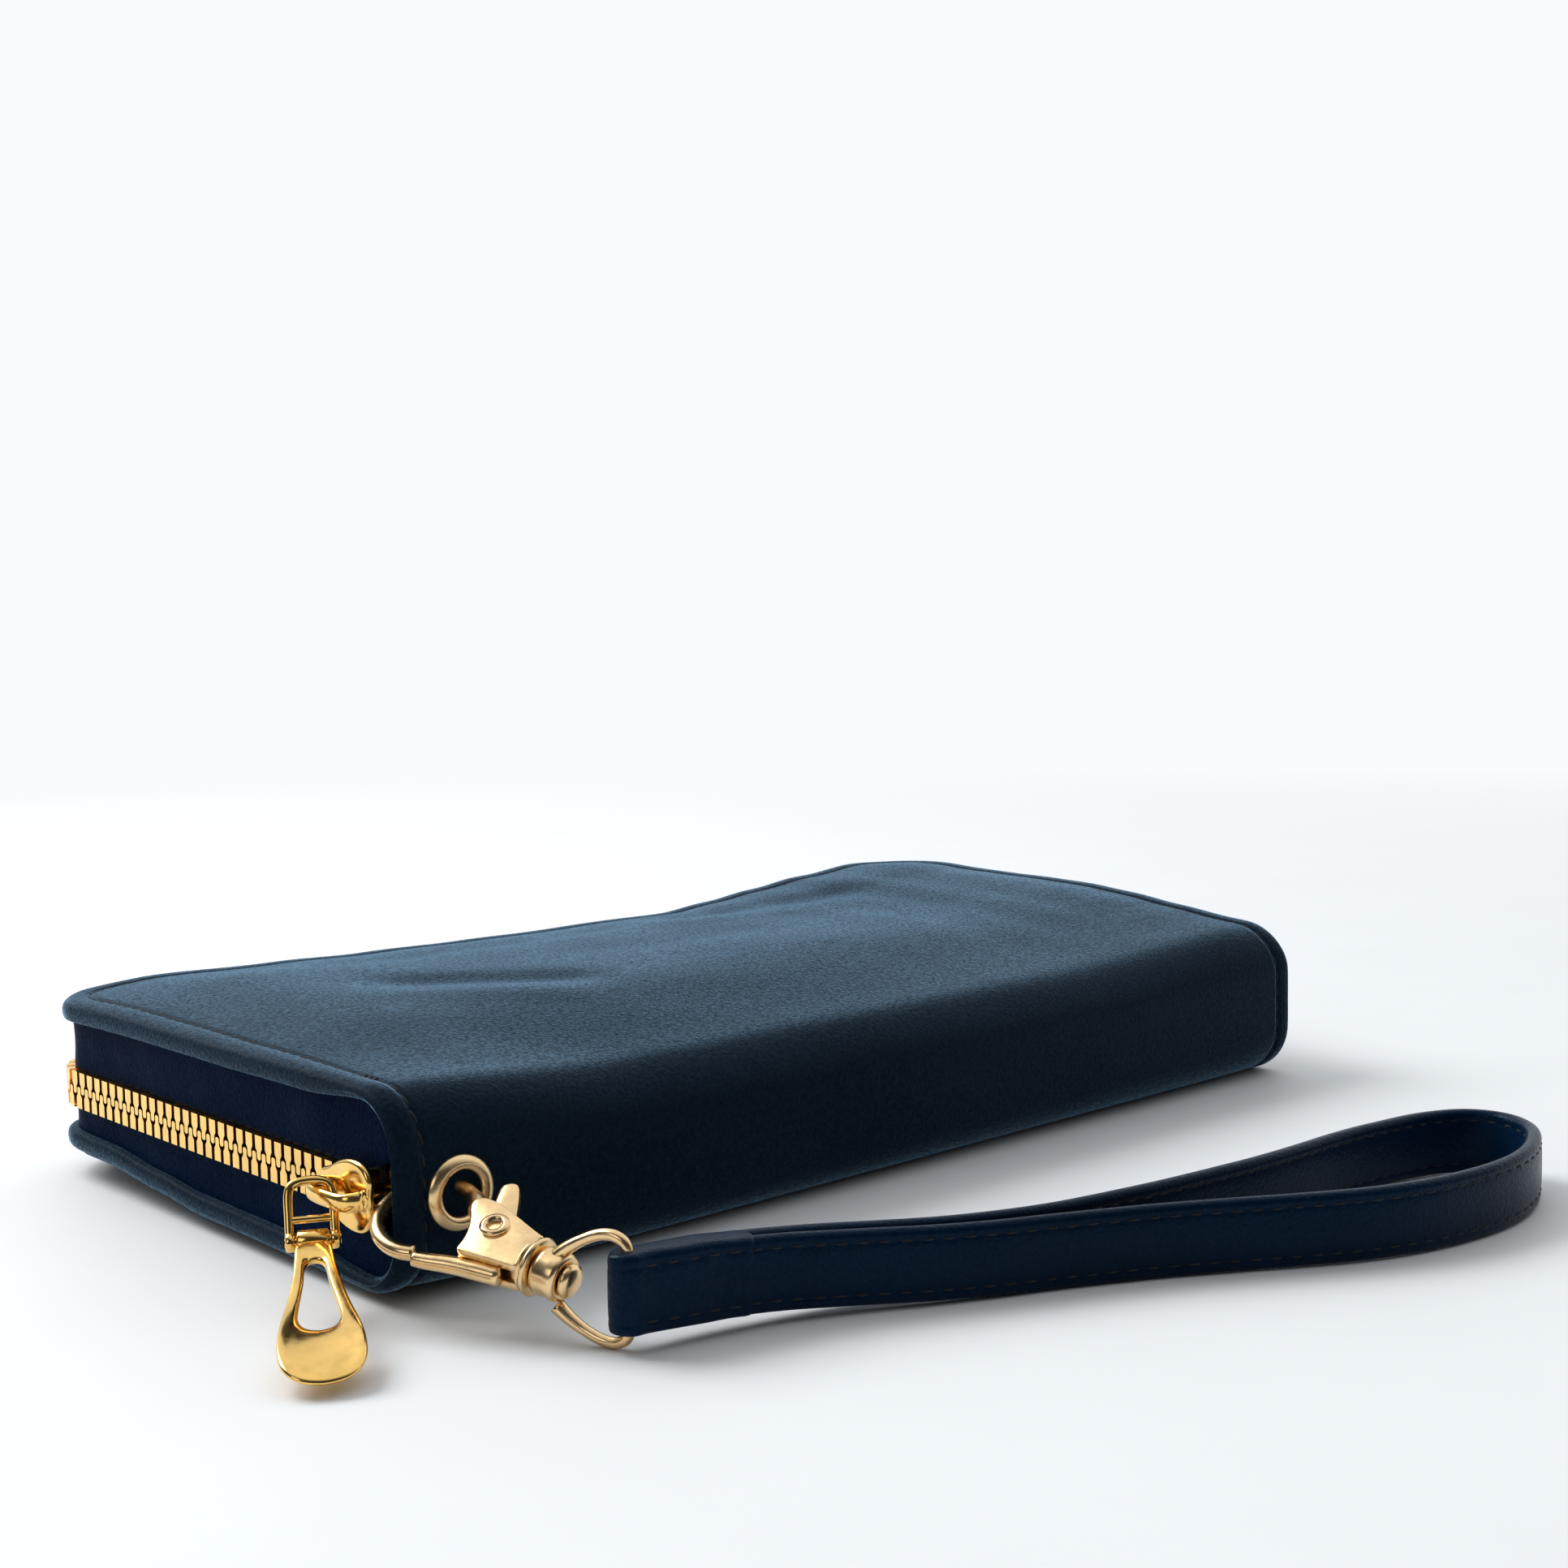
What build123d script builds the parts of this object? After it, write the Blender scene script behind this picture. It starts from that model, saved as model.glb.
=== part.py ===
from build123d import *
import os
from math import radians, sin, cos, tan

# Zip-around wristlet wallet lying on its back cover, spine towards -Y, zip on the other three sides.
# Origin: centre of the underside. +X along the spine, +Y from the spine to the long zip side, +Z up.

# ---- wallet, overall ----
LENGTH = 195.0
DEPTH = 109.0
HEIGHT = 29.0
ZIP_Z = HEIGHT / 2
LEFT, RIGHT = -LENGTH / 2, LENGTH / 2
SPINE, FAR = -DEPTH / 2, DEPTH / 2

# ---- leather wrap, boards and linings ----
COVER = 3.2
SPINE_LEATHER = 2.0
SPINE_RADIUS = 9.0
CORNER_RADIUS = 12.0
TURN_WIDTH = 5.0
BOARD = 1.0
LINING = 0.8
POCKET_GAP = 0.1
SPINE_LINING = 0.5

# ---- opening hinge, high on the spine where the leather bends ----
HINGE_Y = SPINE - 0.1
HINGE_Z = 20.3
HINGE_GAP = 0.3

# ---- zip ----
GUSSET_INSET = 1.5
GUSSET = 0.7
GUSSET_EDGE = 3.0
TAPE_INSET = 2.25
TAPE = 0.5
TAPE_EDGE = 1.5
SIDE_START = 7.0
TOOTH_PITCH = 2.73
TOOTH_INSET = 0.3
TOOTH_THICK = 2.8
TOOTH_LEG = 2.95
TOOTH_TIP = 0.55
TOOTH_WIDE = 1.85
TOOTH_NARROW = 1.05
ZIP_CLEAR_START = 16.0
ZIP_CLEAR_END = 10.0

# ---- zip slider and pull, at the closed end near the spine on the left side ----
SLIDER_Y = SPINE + 11.8
SLIDER_LENGTH = 11.2
SLIDER_NECK = 5.4
SLIDER_SHOULDER = 9.0
SLIDER_PLATE = 1.1
SLIDER_GAP = 0.3
CROWN_GAP = 2.75
CROWN_BAR = 0.8
CROWN_WIDTH = 2.2
CROWN_BACK, CROWN_FRONT = -4.9, 3.2
LINK_TOP = Vector(LEFT - 4.52, SPINE + 13.9, 16.4)
PULL_PIN = Vector(LEFT - 6.2, SPINE + 10.7, 9.3)
PULL_TIP = Vector(LEFT - 21.5, SPINE - 18.0, 0.95)
PULL_SIDE = Vector(0.886, -0.463, 0)
LINK_HALF = 2.9
LINK_WIRE_R = 0.5
PIN_R = 0.6
KNUCKLE_R = 1.45
KNUCKLE_HALF = 2.1
PULL_NECK = 5.6
PULL_WIDTH = 10.6
PULL_THICK = 1.3

# ---- eyelet in the spine ----
EYELET = Vector(LEFT + 9.6, SPINE, 14.6)
EYELET_HOLE_R = 2.95
EYELET_BARREL_R = 3.3
EYELET_FLANGE_R = 4.9
EYELET_ROLL = 0.7

# ---- snap hook: its own frame has X along the shank and Y across the loop ----
SWIVEL = Vector(LEFT + 9.34, SPINE - 20.7, 8.4)
SHANK = Vector(0.2638, -0.9418, -0.2070)
ACROSS = Vector(0.8986, 0.1621, 0.4072)
LOOP_X, LOOP_Y, LOOP_R = -20.8, 0.0, 6.5
LOOP_WIRE_R = 1.0
CHEEK_OUT, CHEEK_IN = 2.1, 1.2
RIVET_X, RIVET_Y = -10.2, 1.3
RIVET_R, RIVET_HOLE_R, RIVET_HEAD_R = 1.2, 0.75, 1.9
LEVER_HALF = 1.0
POST_R = 1.3

# ---- swivel ring ----
RING_DROP = 0.9
RING_DIR = Vector(0.385, -0.923, 0)
RING_WIRE_R = 0.9
RING_HALF = 6.4
RING_REACH = 10.7
RING_STRAIGHT = 4.9

# ---- wrist strap: a flat leather band on edge ----
STRAP_WIDTH = 10.0
STRAP_THICK = 2.2
STRAP_Z = 7.5
STRAP_SLOPE = 0.9
FOLD_BORE_R = 1.2
FOLD_R = 2.5
FOLD_LENGTH = 3.5
FOLD_ANGLE = -10.0
# plan points of the band's middle line, from the front of the fold round to the back of it
STRAP_ROUTE = [
    (-80.82, -86.97), (-73.2, -88.3), (-65.0, -90.1), (-55.5, -94.2), (-41.2, -101.7), (-28.0, -107.3),
    (-14.0, -114.6), (0.5, -124.0), (9.6, -129.2), (20.0, -132.7), (30.2, -134.1), (40.5, -133.6),
    (49.5, -130.6), (56.0, -126.4), (59.3, -120.2), (57.2, -114.2), (50.5, -111.0), (42.0, -109.6),
    (32.0, -108.6), (16.0, -108.9), (-2.0, -107.2), (-16.0, -105.0), (-28.0, -102.6), (-41.2, -97.7),
    (-55.0, -90.6), (-64.6, -87.3), (-72.8, -85.7), (-80.36, -84.41),
]


def plan_sketch(inset, start):
    """Plan of the wallet moved in by inset on the three zip sides, from y = start to the far side."""
    width = LENGTH - 2 * inset
    depth = FAR - inset - start
    outline = Pos(0, start + depth / 2) * Rectangle(width, depth)
    far_corners = outline.vertices().sort_by(Axis.Y)[-2:]
    return fillet(far_corners, CORNER_RADIUS - inset)


def wall(inset, thick, start, z_low, z_high):
    """A thin U-shaped wall that follows the three zip sides."""
    ring = plan_sketch(inset, start) - plan_sketch(inset + thick, start - 1)
    return Pos(0, 0, z_low) * extrude(ring, z_high - z_low)


def flip(solid):
    """The same piece on the other half of the wallet."""
    return mirror(solid, about=Plane.XY.offset(ZIP_Z))


# ---- leather wrap ----
def wrap_shell():
    """Back cover, spine and front cover as one C-shaped shell with round far corners."""
    tangent = SPINE + SPINE_RADIUS
    inner = SPINE_RADIUS - SPINE_LEATHER
    top = HEIGHT
    outline = [
        Line((FAR, 0), (tangent, 0)),
        RadiusArc((tangent, 0), (SPINE, SPINE_RADIUS), SPINE_RADIUS),
        Line((SPINE, SPINE_RADIUS), (SPINE, top - SPINE_RADIUS)),
        RadiusArc((SPINE, top - SPINE_RADIUS), (tangent, top), SPINE_RADIUS),
        Line((tangent, top), (FAR, top)),
        Line((FAR, top), (FAR, top - COVER)),
        Line((FAR, top - COVER), (tangent, top - COVER)),
        Line((tangent, top - COVER), (tangent, top - SPINE_LEATHER)),
        RadiusArc((tangent, top - SPINE_LEATHER), (SPINE + SPINE_LEATHER, top - SPINE_RADIUS), -inner),
        Line((SPINE + SPINE_LEATHER, top - SPINE_RADIUS), (SPINE + SPINE_LEATHER, SPINE_RADIUS)),
        RadiusArc((SPINE + SPINE_LEATHER, SPINE_RADIUS), (tangent, SPINE_LEATHER), -inner),
        Line((tangent, SPINE_LEATHER), (tangent, COVER)),
        Line((tangent, COVER), (FAR, COVER)),
        Line((FAR, COVER), (FAR, 0)),
    ]
    profile = Plane.YZ.offset(LEFT) * make_face(outline)
    return extrude(profile, LENGTH, dir=(1, 0, 0)) & extrude(plan_sketch(0, SPINE - 1), HEIGHT)


def board_pocket(inset_gap, depth_low, depth_high):
    """Flat plate that fills the pocket in a cover between two depths from the outside."""
    start = SPINE + SPINE_RADIUS + TURN_WIDTH + inset_gap
    outline = plan_sketch(TURN_WIDTH + inset_gap, start)
    return Pos(0, 0, depth_low) * extrude(outline, depth_high - depth_low)


def split_at(z, solid, upper):
    """Part of a solid above or below a level."""
    box = Pos(0, 0, z + (HEIGHT if upper else -HEIGHT)) * Box(3 * LENGTH, 3 * DEPTH, 2 * HEIGHT)
    return solid & box


def spine_end_bevels():
    """Prisms that bevel the left end of the spine where the hook's wire passes round it."""
    height = HINGE_Z - SPINE_RADIUS
    prism = Rot(0, 0, 45) * Box(1.2, 1.2, height)
    z = SPINE_RADIUS + height / 2
    return Pos(LEFT, SPINE, z) * prism + Pos(LEFT, SPINE + SPINE_LEATHER, z) * prism


def covers():
    shell = wrap_shell()
    pocket_floor = COVER - BOARD - LINING
    pocket = board_pocket(0, pocket_floor, COVER)
    barrel_hole = Pos(*EYELET) * Rot(90, 0, 0) * Cylinder(EYELET_BARREL_R, 4 * SPINE_LEATHER)
    back = split_at(HINGE_Z, shell, False) - pocket - barrel_hole - spine_end_bevels()
    front = split_at(HINGE_Z + HINGE_GAP, shell, True) - flip(pocket)
    board = board_pocket(POCKET_GAP, pocket_floor, pocket_floor + BOARD)
    lining = board_pocket(POCKET_GAP, pocket_floor + BOARD, COVER)
    return {
        "back_cover": back,
        "front_cover": front,
        "back_board": board,
        "front_board": flip(board),
        "back_lining": lining,
        "front_lining": flip(lining),
    }


def spine_lining():
    """Thin strip glued inside the flat of the spine, with a hole behind the eyelet."""
    height = HINGE_Z - SPINE_RADIUS - 0.5
    strip = Box(LENGTH - 6, SPINE_LINING, height)
    at = Pos(0, SPINE + SPINE_LEATHER + SPINE_LINING / 2, SPINE_RADIUS + height / 2)
    hole = Pos(*EYELET) * Rot(90, 0, 0) * Cylinder(EYELET_FLANGE_R - 0.1, 12)
    return at * strip - hole


# ---- zip ----
def zip_route(inset, start):
    """Line round the three zip sides at an inset, from the left end to the right end."""
    x = LENGTH / 2 - inset
    y = FAR - inset
    points = [(-x, start), (-x, y), (x, y), (x, start)]
    return FilletPolyline(*points, radius=CORNER_RADIUS - inset)


def tooth():
    """One bottle-shaped tooth, growing towards +Z from its legs on the tape to its tip."""
    half, neck = TOOTH_WIDE / 2, TOOTH_NARROW / 2
    shoulder = -1.15
    outline = Polyline(
        (-half, -TOOTH_LEG), (half, -TOOTH_LEG), (half, shoulder), (neck, shoulder + 0.5),
        (neck, TOOTH_TIP - 0.25), (neck - 0.25, TOOTH_TIP), (0.25 - neck, TOOTH_TIP),
        (-neck, TOOTH_TIP - 0.25), (-neck, shoulder + 0.5), (-half, shoulder), close=True,
    )
    face = Plane.XZ * make_face(outline)
    return extrude(face, TOOTH_THICK / 2, both=True)


def zip_teeth(offset):
    """All teeth of one side, set along the route at the pitch, starting at an offset."""
    route = zip_route(TOOTH_INSET + TOOTH_THICK / 2, SPINE + ZIP_CLEAR_START)
    length = route.length - (ZIP_CLEAR_START - ZIP_CLEAR_END)
    one = tooth()
    solids = []
    count = int((length - offset) / TOOTH_PITCH)
    for i in range(count):
        at = offset + i * TOOTH_PITCH
        place = route.position_at(at, position_mode=PositionMode.LENGTH)
        along = route.tangent_at(at, position_mode=PositionMode.LENGTH)
        angle = Vector(1, 0, 0).get_signed_angle(along, Vector(0, 0, 1))
        solids.append(one.moved(Location((place.X, place.Y, ZIP_Z), (0, 0, angle))))
    return Compound([s.solid() for s in solids])


def zip_parts():
    start = SPINE + SIDE_START
    gusset = wall(GUSSET_INSET, GUSSET, start, COVER, ZIP_Z - GUSSET_EDGE)
    tape = wall(TAPE_INSET, TAPE, start, COVER, ZIP_Z - TAPE_EDGE)
    inset = TOOTH_INSET + TOOTH_THICK / 2
    stop = Pos(LEFT + inset, SPINE + SIDE_START + 1.4, ZIP_Z - 2.25) * Box(TOOTH_THICK, 2.2, 1.2)
    end_stop = Pos(RIGHT - inset, SPINE + ZIP_CLEAR_END - 1.2, ZIP_Z - 1.5) * Box(TOOTH_THICK, 2.6, 2.8)
    teeth = zip_teeth(0)
    front_teeth = flip(zip_teeth(TOOTH_PITCH / 2))
    return {
        "back_gusset": gusset,
        "front_gusset": flip(gusset),
        "back_zip_tape": tape,
        "front_zip_tape": flip(tape),
        "back_zip_teeth": teeth,
        "front_zip_teeth": front_teeth,
        "back_top_stop": stop,
        "front_top_stop": flip(stop),
        "back_end_stop": end_stop,
        "front_end_stop": flip(end_stop),
    }


# ---- slider and pull ----
def slider_plate_sketch():
    """Shield outline in the plane of the zip: narrow neck towards +Y, wide shoulder at the spine."""
    half, neck, wide = SLIDER_LENGTH / 2, SLIDER_NECK / 2, SLIDER_SHOULDER / 2
    shield = Polyline(
        (half, -neck), (half, neck), (0.1 * half, wide), (-0.75 * half, wide), (-half, wide - 1.6),
        (-half, 1.6 - wide), (-0.75 * half, -wide), (0.1 * half, -wide), close=True,
    )
    outline = make_face(shield)
    return fillet(outline.vertices(), 0.8)


def slider_body():
    """Outer and inner plates, the wedge between them and the crown that holds the pull."""
    plane = Plane(origin=(LEFT, SLIDER_Y, ZIP_Z), x_dir=(0, 1, 0), z_dir=(-1, 0, 0))
    outer_face = SLIDER_GAP - TOOTH_INSET
    inner_face = TOOTH_INSET + TOOTH_THICK + SLIDER_GAP
    plate = extrude(slider_plate_sketch(), SLIDER_PLATE)
    outer = Pos(0, 0, outer_face) * plate
    inner = Pos(0, 0, -inner_face - SLIDER_PLATE) * plate
    wedge_line = Polyline((-5.0, -1.0), (-2.4, -1.35), (-1.2, 0), (-2.4, 1.35), (-5.0, 1.0), close=True)
    wedge = Pos(0, 0, -inner_face) * extrude(make_face(wedge_line), inner_face + outer_face)
    base = outer_face + SLIDER_PLATE
    bar_length = CROWN_FRONT - CROWN_BACK
    bar_z = base + CROWN_GAP + CROWN_BAR / 2
    bar = Pos((CROWN_FRONT + CROWN_BACK) / 2, 0, bar_z) * Box(bar_length, CROWN_WIDTH, CROWN_BAR)
    bar = fillet(bar.edges().filter_by(Axis.X).group_by(Axis.Z)[0], 0.35)
    post = Box(CROWN_BAR, CROWN_WIDTH, CROWN_GAP + CROWN_BAR)
    post_z = base + (CROWN_GAP + CROWN_BAR) / 2
    back_post = Pos(CROWN_BACK + CROWN_BAR / 2, 0, post_z) * post
    front_post = Pos(CROWN_FRONT - CROWN_BAR / 2, 0, post_z) * post
    crown = bar + back_post + front_post
    crown = fillet(crown.edges().filter_by(Axis.Y).group_by(Axis.Z)[-1], 0.6)
    return plane * (outer + inner + wedge + crown)


def pull_plane(origin, toward):
    """Frame with X towards a point, Y along the pull's width and Z out of its face."""
    along = (toward - origin).normalized()
    return Plane(origin=origin, x_dir=along, z_dir=along.cross(PULL_SIDE))


def pull_link():
    """Ladder-shaped wire link: closed round top on the crown, a cross bar, two legs with eyes."""
    plane = pull_plane(LINK_TOP, PULL_PIN)
    reach = (PULL_PIN - LINK_TOP).length
    side = LINK_HALF
    rail = FilletPolyline((reach, -side), (0, -side), (0, side), (reach, side), radius=1.6)
    wire = sweep(Plane(rail ^ 0) * Circle(LINK_WIRE_R), path=rail)
    bar = Pos(0.66 * reach, 0, 0) * Rot(90, 0, 0) * Cylinder(LINK_WIRE_R * 0.9, 2 * side)
    eye = Rot(90, 0, 0) * Cylinder(1.15, 2.4 * LINK_WIRE_R)
    link = wire + bar + Pos(reach, side, 0) * eye + Pos(reach, -side, 0) * eye
    bore = Pos(reach, 0, 0) * Rot(90, 0, 0) * Cylinder(PIN_R, 3 * side)
    return plane * (link - bore)


def pull_pin():
    plane = pull_plane(LINK_TOP, PULL_PIN)
    reach = (PULL_PIN - LINK_TOP).length
    return plane * Pos(reach, 0, 0) * Rot(90, 0, 0) * Cylinder(PIN_R, 2 * LINK_HALF + 1.4)


def pull_tab():
    """Spoon-shaped tab with an oval window and a knuckle on the pin."""
    plane = pull_plane(PULL_PIN, PULL_TIP)
    length = (PULL_TIP - PULL_PIN).length
    half = PULL_WIDTH / 2
    neck = PULL_NECK / 2
    side = [(1.0, neck), (0.45 * length, 0.78 * half), (0.80 * length, half)]
    edge = Spline(*side, tangents=((1, 0.05), (1, 0)))
    nose = Spline((0.80 * length, half), (length, 0), tangents=((1, 0), (0, -1)))
    upper = [edge, nose]
    lower = [mirror(line, about=Plane.XZ) for line in upper]
    outline = make_face(upper + lower + [Line((1.0, neck), (1.0, -neck))])
    window = Pos(0.42 * length, 0) * Ellipse(0.24 * length, 0.40 * half)
    blade = extrude(outline - window, PULL_THICK / 2, both=True)
    knuckle = Rot(90, 0, 0) * Cylinder(KNUCKLE_R, 2 * KNUCKLE_HALF)
    shank = Pos(1.2, 0, 0) * Box(2.4, 2 * KNUCKLE_HALF, PULL_THICK)
    clear = Rot(90, 0, 0) * Cylinder(2.2, 20) - Rot(90, 0, 0) * Cylinder(2.2, 2 * KNUCKLE_HALF)
    bore = Rot(90, 0, 0) * Cylinder(PIN_R + 0.08, 20)
    return plane * (blade - clear + knuckle + shank - bore)


# ---- eyelet ----
def eyelet_parts():
    face = Plane(origin=EYELET, x_dir=(1, 0, 0), z_dir=(0, -1, 0))
    depth = SPINE_LEATHER + 0.4
    barrel = Pos(0, 0, -depth / 2) * Cylinder(EYELET_BARREL_R - 0.05, depth)
    flange = Pos(0, 0, EYELET_ROLL / 2) * Cylinder(EYELET_FLANGE_R, EYELET_ROLL)
    flange = fillet(flange.edges().group_by(Axis.Z)[-1], 0.6)
    hole = Cylinder(EYELET_HOLE_R, 20)
    washer = Pos(0, 0, -SPINE_LEATHER - 0.3) * Cylinder(EYELET_FLANGE_R - 0.3, 0.5)
    washer -= Cylinder(EYELET_BARREL_R, 20)
    return {"eyelet": face * (barrel + flange - hole), "eyelet_washer": face * washer}


# ---- snap hook ----
HOOK = Plane(origin=SWIVEL, x_dir=SHANK, z_dir=SHANK.cross(ACROSS))


def extrude_between(outline, low, high):
    return Pos(0, 0, low) * extrude(outline, high - low)


def rod(radius, x_low, x_high):
    """Round bar along the shank."""
    return Pos((x_low + x_high) / 2, 0, 0) * Rot(0, 90, 0) * Cylinder(radius, x_high - x_low)


def beyond_seam(gap, nose_side):
    """Half space on one side of the slanted seam between the hook's nose and the gate."""
    sign = -1 if nose_side else 1
    block = Pos(sign * (20 + gap), 0, 0) * Box(40, 40, 40)
    return Pos(-17.75, -6.0, 0) * Rot(0, 0, 45) * block


def hook_frame():
    """Two cheeks, the wire loop through the eyelet, the collar and the peened post."""
    cheek_line = Polyline(
        (-15.6, 4.3), (-12.6, 5.6), (-3.4, 3.5), (-3.4, -3.4), (-12.0, -4.3), (-13.8, -1.5), close=True
    )
    cheek = make_face(cheek_line)
    cheek = fillet(cheek.vertices().sort_by(Axis.X)[:3], 0.8)
    body = extrude_between(cheek, CHEEK_IN, CHEEK_OUT) + extrude_between(cheek, -CHEEK_OUT, -CHEEK_IN)
    body += Pos(-4.2, 0, 0) * Box(1.6, 6.8, 2 * CHEEK_OUT)
    body += Pos(-14.7, 3.2, 0) * Box(1.7, 1.9, 2 * CHEEK_OUT)
    loop = CenterArc((LOOP_X, LOOP_Y), LOOP_R, 33, 263)
    wire = sweep(Plane(loop ^ 0) * Circle(LOOP_WIRE_R), path=loop)
    wire = wire & beyond_seam(0.12, True) + Pos(-27, 12, 0) * Box(40, 24, 20)
    body += wire
    body += rod(3.9, -3.6, -2.1) + rod(POST_R, -2.2, 2.4) + rod(2.1, 2.2, 3.3)
    return HOOK * (body - Pos(RIVET_X, RIVET_Y, 0) * Cylinder(RIVET_R + 0.03, 10))


def hook_rivet():
    tube = Cylinder(RIVET_R, 2 * CHEEK_OUT + 0.8)
    head = Cylinder(RIVET_HEAD_R, 0.4)
    offset = CHEEK_OUT + 0.22
    rivet = tube + Pos(0, 0, offset) * head + Pos(0, 0, -offset) * head - Cylinder(RIVET_HOLE_R, 10)
    return HOOK * Pos(RIVET_X, RIVET_Y, 0) * rivet


def hook_gate():
    """Lever on the rivet: gate arm along the open side of the loop, thumb tab on the other side."""
    arm_line = Polyline((-19, -5.0), (-17.2, -6.95), (-5.6, -4.5), (-5.6, -2.9), (-12, -3.5), close=True)
    arm = make_face(arm_line)
    web = make_face(Polyline((-12.2, -4.2), (-8.4, -4.0), (-8.2, 1.3), (-12.2, 1.3), close=True))
    tab_line = Polyline((-12.2, 1.0), (-15.4, 8.6), (-14.6, 9.7), (-13.3, 9.5), (-8.5, 2.2), close=True)
    tab = make_face(tab_line)
    hub = Pos(RIVET_X, RIVET_Y) * Circle(2.1)
    lever = extrude(arm + web + tab + hub, LEVER_HALF, both=True) & beyond_seam(0.12, False)
    return HOOK * (lever - Pos(RIVET_X, RIVET_Y, 0) * Cylinder(RIVET_R + 0.08, 10))


def gate_spring():
    """Leaf spring between the lever's hub and the neck of the frame."""
    return HOOK * Pos(-6.6, 1.3, 0) * Box(2.6, 0.3, 1.6)


# ---- swivel ring ----
RING_ORIGIN = SWIVEL - Vector(0, 0, RING_DROP)
RING = Plane(origin=RING_ORIGIN, x_dir=RING_DIR, z_dir=RING_DIR.cross(Vector(0, 0, 1)))


def swivel_ring():
    """D-shaped wire ring and the eye block that turns on the hook's post."""
    corner = RING_HALF - RING_STRAIGHT
    flat_end = RING_REACH - corner
    top = [
        TangentArc((5.6, RING_HALF), (0.3, RING_DROP + 2.4), tangent=(-1, 0)),
        Line((5.6, RING_HALF), (flat_end, RING_HALF)),
        RadiusArc((flat_end, RING_HALF), (RING_REACH, RING_STRAIGHT), corner),
    ]
    low = [
        RadiusArc((RING_REACH, -RING_STRAIGHT), (flat_end, -RING_HALF), corner),
        Line((flat_end, -RING_HALF), (5.6, -RING_HALF)),
        TangentArc((5.6, -RING_HALF), (0.3, RING_DROP - 2.4), tangent=(-1, 0)),
    ]
    rail = Wire(top + [Line((RING_REACH, RING_STRAIGHT), (RING_REACH, -RING_STRAIGHT))] + low)
    wire = RING * sweep(Plane(rail ^ 0) * Circle(RING_WIRE_R), path=rail)
    block = HOOK * rod(3.1, -1.9, 2.0)
    return wire + block - HOOK * rod(POST_R + 0.12, -5, 5)


# ---- wrist strap ----
STRAP_AXIS = RING_ORIGIN + RING_DIR * RING_REACH


def strap_radii(points):
    """Largest tangent arc that the two runs beside each corner leave room for."""
    radii = []
    for before, here, after in zip(points, points[1:], points[2:]):
        run_in = Vector(*here) - Vector(*before)
        run_out = Vector(*after) - Vector(*here)
        turn = radians(run_in.get_angle(run_out))
        radii.append(0.45 * min(run_in.length, run_out.length) / tan(turn / 2))
    return radii


def lay_down(solid):
    """Tilt the flat strap about the ring so that its far end comes down to the table."""
    pivot = (STRAP_AXIS.X, STRAP_AXIS.Y, 0)
    tilt_axis = Axis(pivot, (0.24, 0.971, 0))
    return Pos(0, 0, STRAP_Z) * solid.rotate(tilt_axis, STRAP_SLOPE)


def strap_band():
    radii = strap_radii(STRAP_ROUTE)
    line = FilletPolyline(*STRAP_ROUTE, radius=radii)
    band = extrude(trace(line, STRAP_THICK), STRAP_WIDTH / 2, both=True)
    print("strap arc radii, mm:", [round(r, 1) for r in radii])
    print("strap middle line, mm:", round(line.length, 1))
    print("strap volume:", round(band.volume, 1), "section x length:",
          round(STRAP_THICK * STRAP_WIDTH * line.length, 1))
    return lay_down(band)


def strap_fold():
    """Leather folded round the ring's straight side and closed against the two ends of the band."""
    outline = Circle(FOLD_R) + Pos(FOLD_LENGTH / 2, 0) * Rectangle(FOLD_LENGTH, 2 * FOLD_R)
    bore = Circle(FOLD_BORE_R) + Pos(0.6, 0) * Rectangle(1.2, 2 * FOLD_BORE_R)
    fold = extrude(outline - bore, STRAP_WIDTH / 2, both=True)
    return lay_down(Pos(STRAP_AXIS.X, STRAP_AXIS.Y, 0) * Rot(0, 0, FOLD_ANGLE) * fold)


# ---- inside: card pockets and the zipped coin pocket ----
CARD_SHEET = 0.5
CARD_STEP = 0.56
CARD_SLOTS = 4
CARD_WIDTH = 180.0
CARD_START = SPINE + 15.0
CARD_TOP = FAR - 14.0
CARD_TERRACE = 9.0
COIN_START = SPINE + 9.0
COIN_MOUTH = FAR - 12.0
COIN_WIDTH = 178.0
COIN_SHEET = 0.8
COIN_HALF = 3.3
COIN_TAPE = 0.5
COIN_PITCH = 2.2
COIN_TOOTH_HALF = 1.3
COIN_TOOTH_THICK = 1.6
COIN_SLIDER_X = -80.0


def card_slot(index):
    """One card slot strip; each lies on the one before and stops a terrace lower."""
    depth = CARD_TOP - index * CARD_TERRACE - CARD_START
    z = COVER + 0.02 + index * CARD_STEP
    return Pos(0, CARD_START + depth / 2, z + CARD_SHEET / 2) * Box(CARD_WIDTH, depth, CARD_SHEET)


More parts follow.
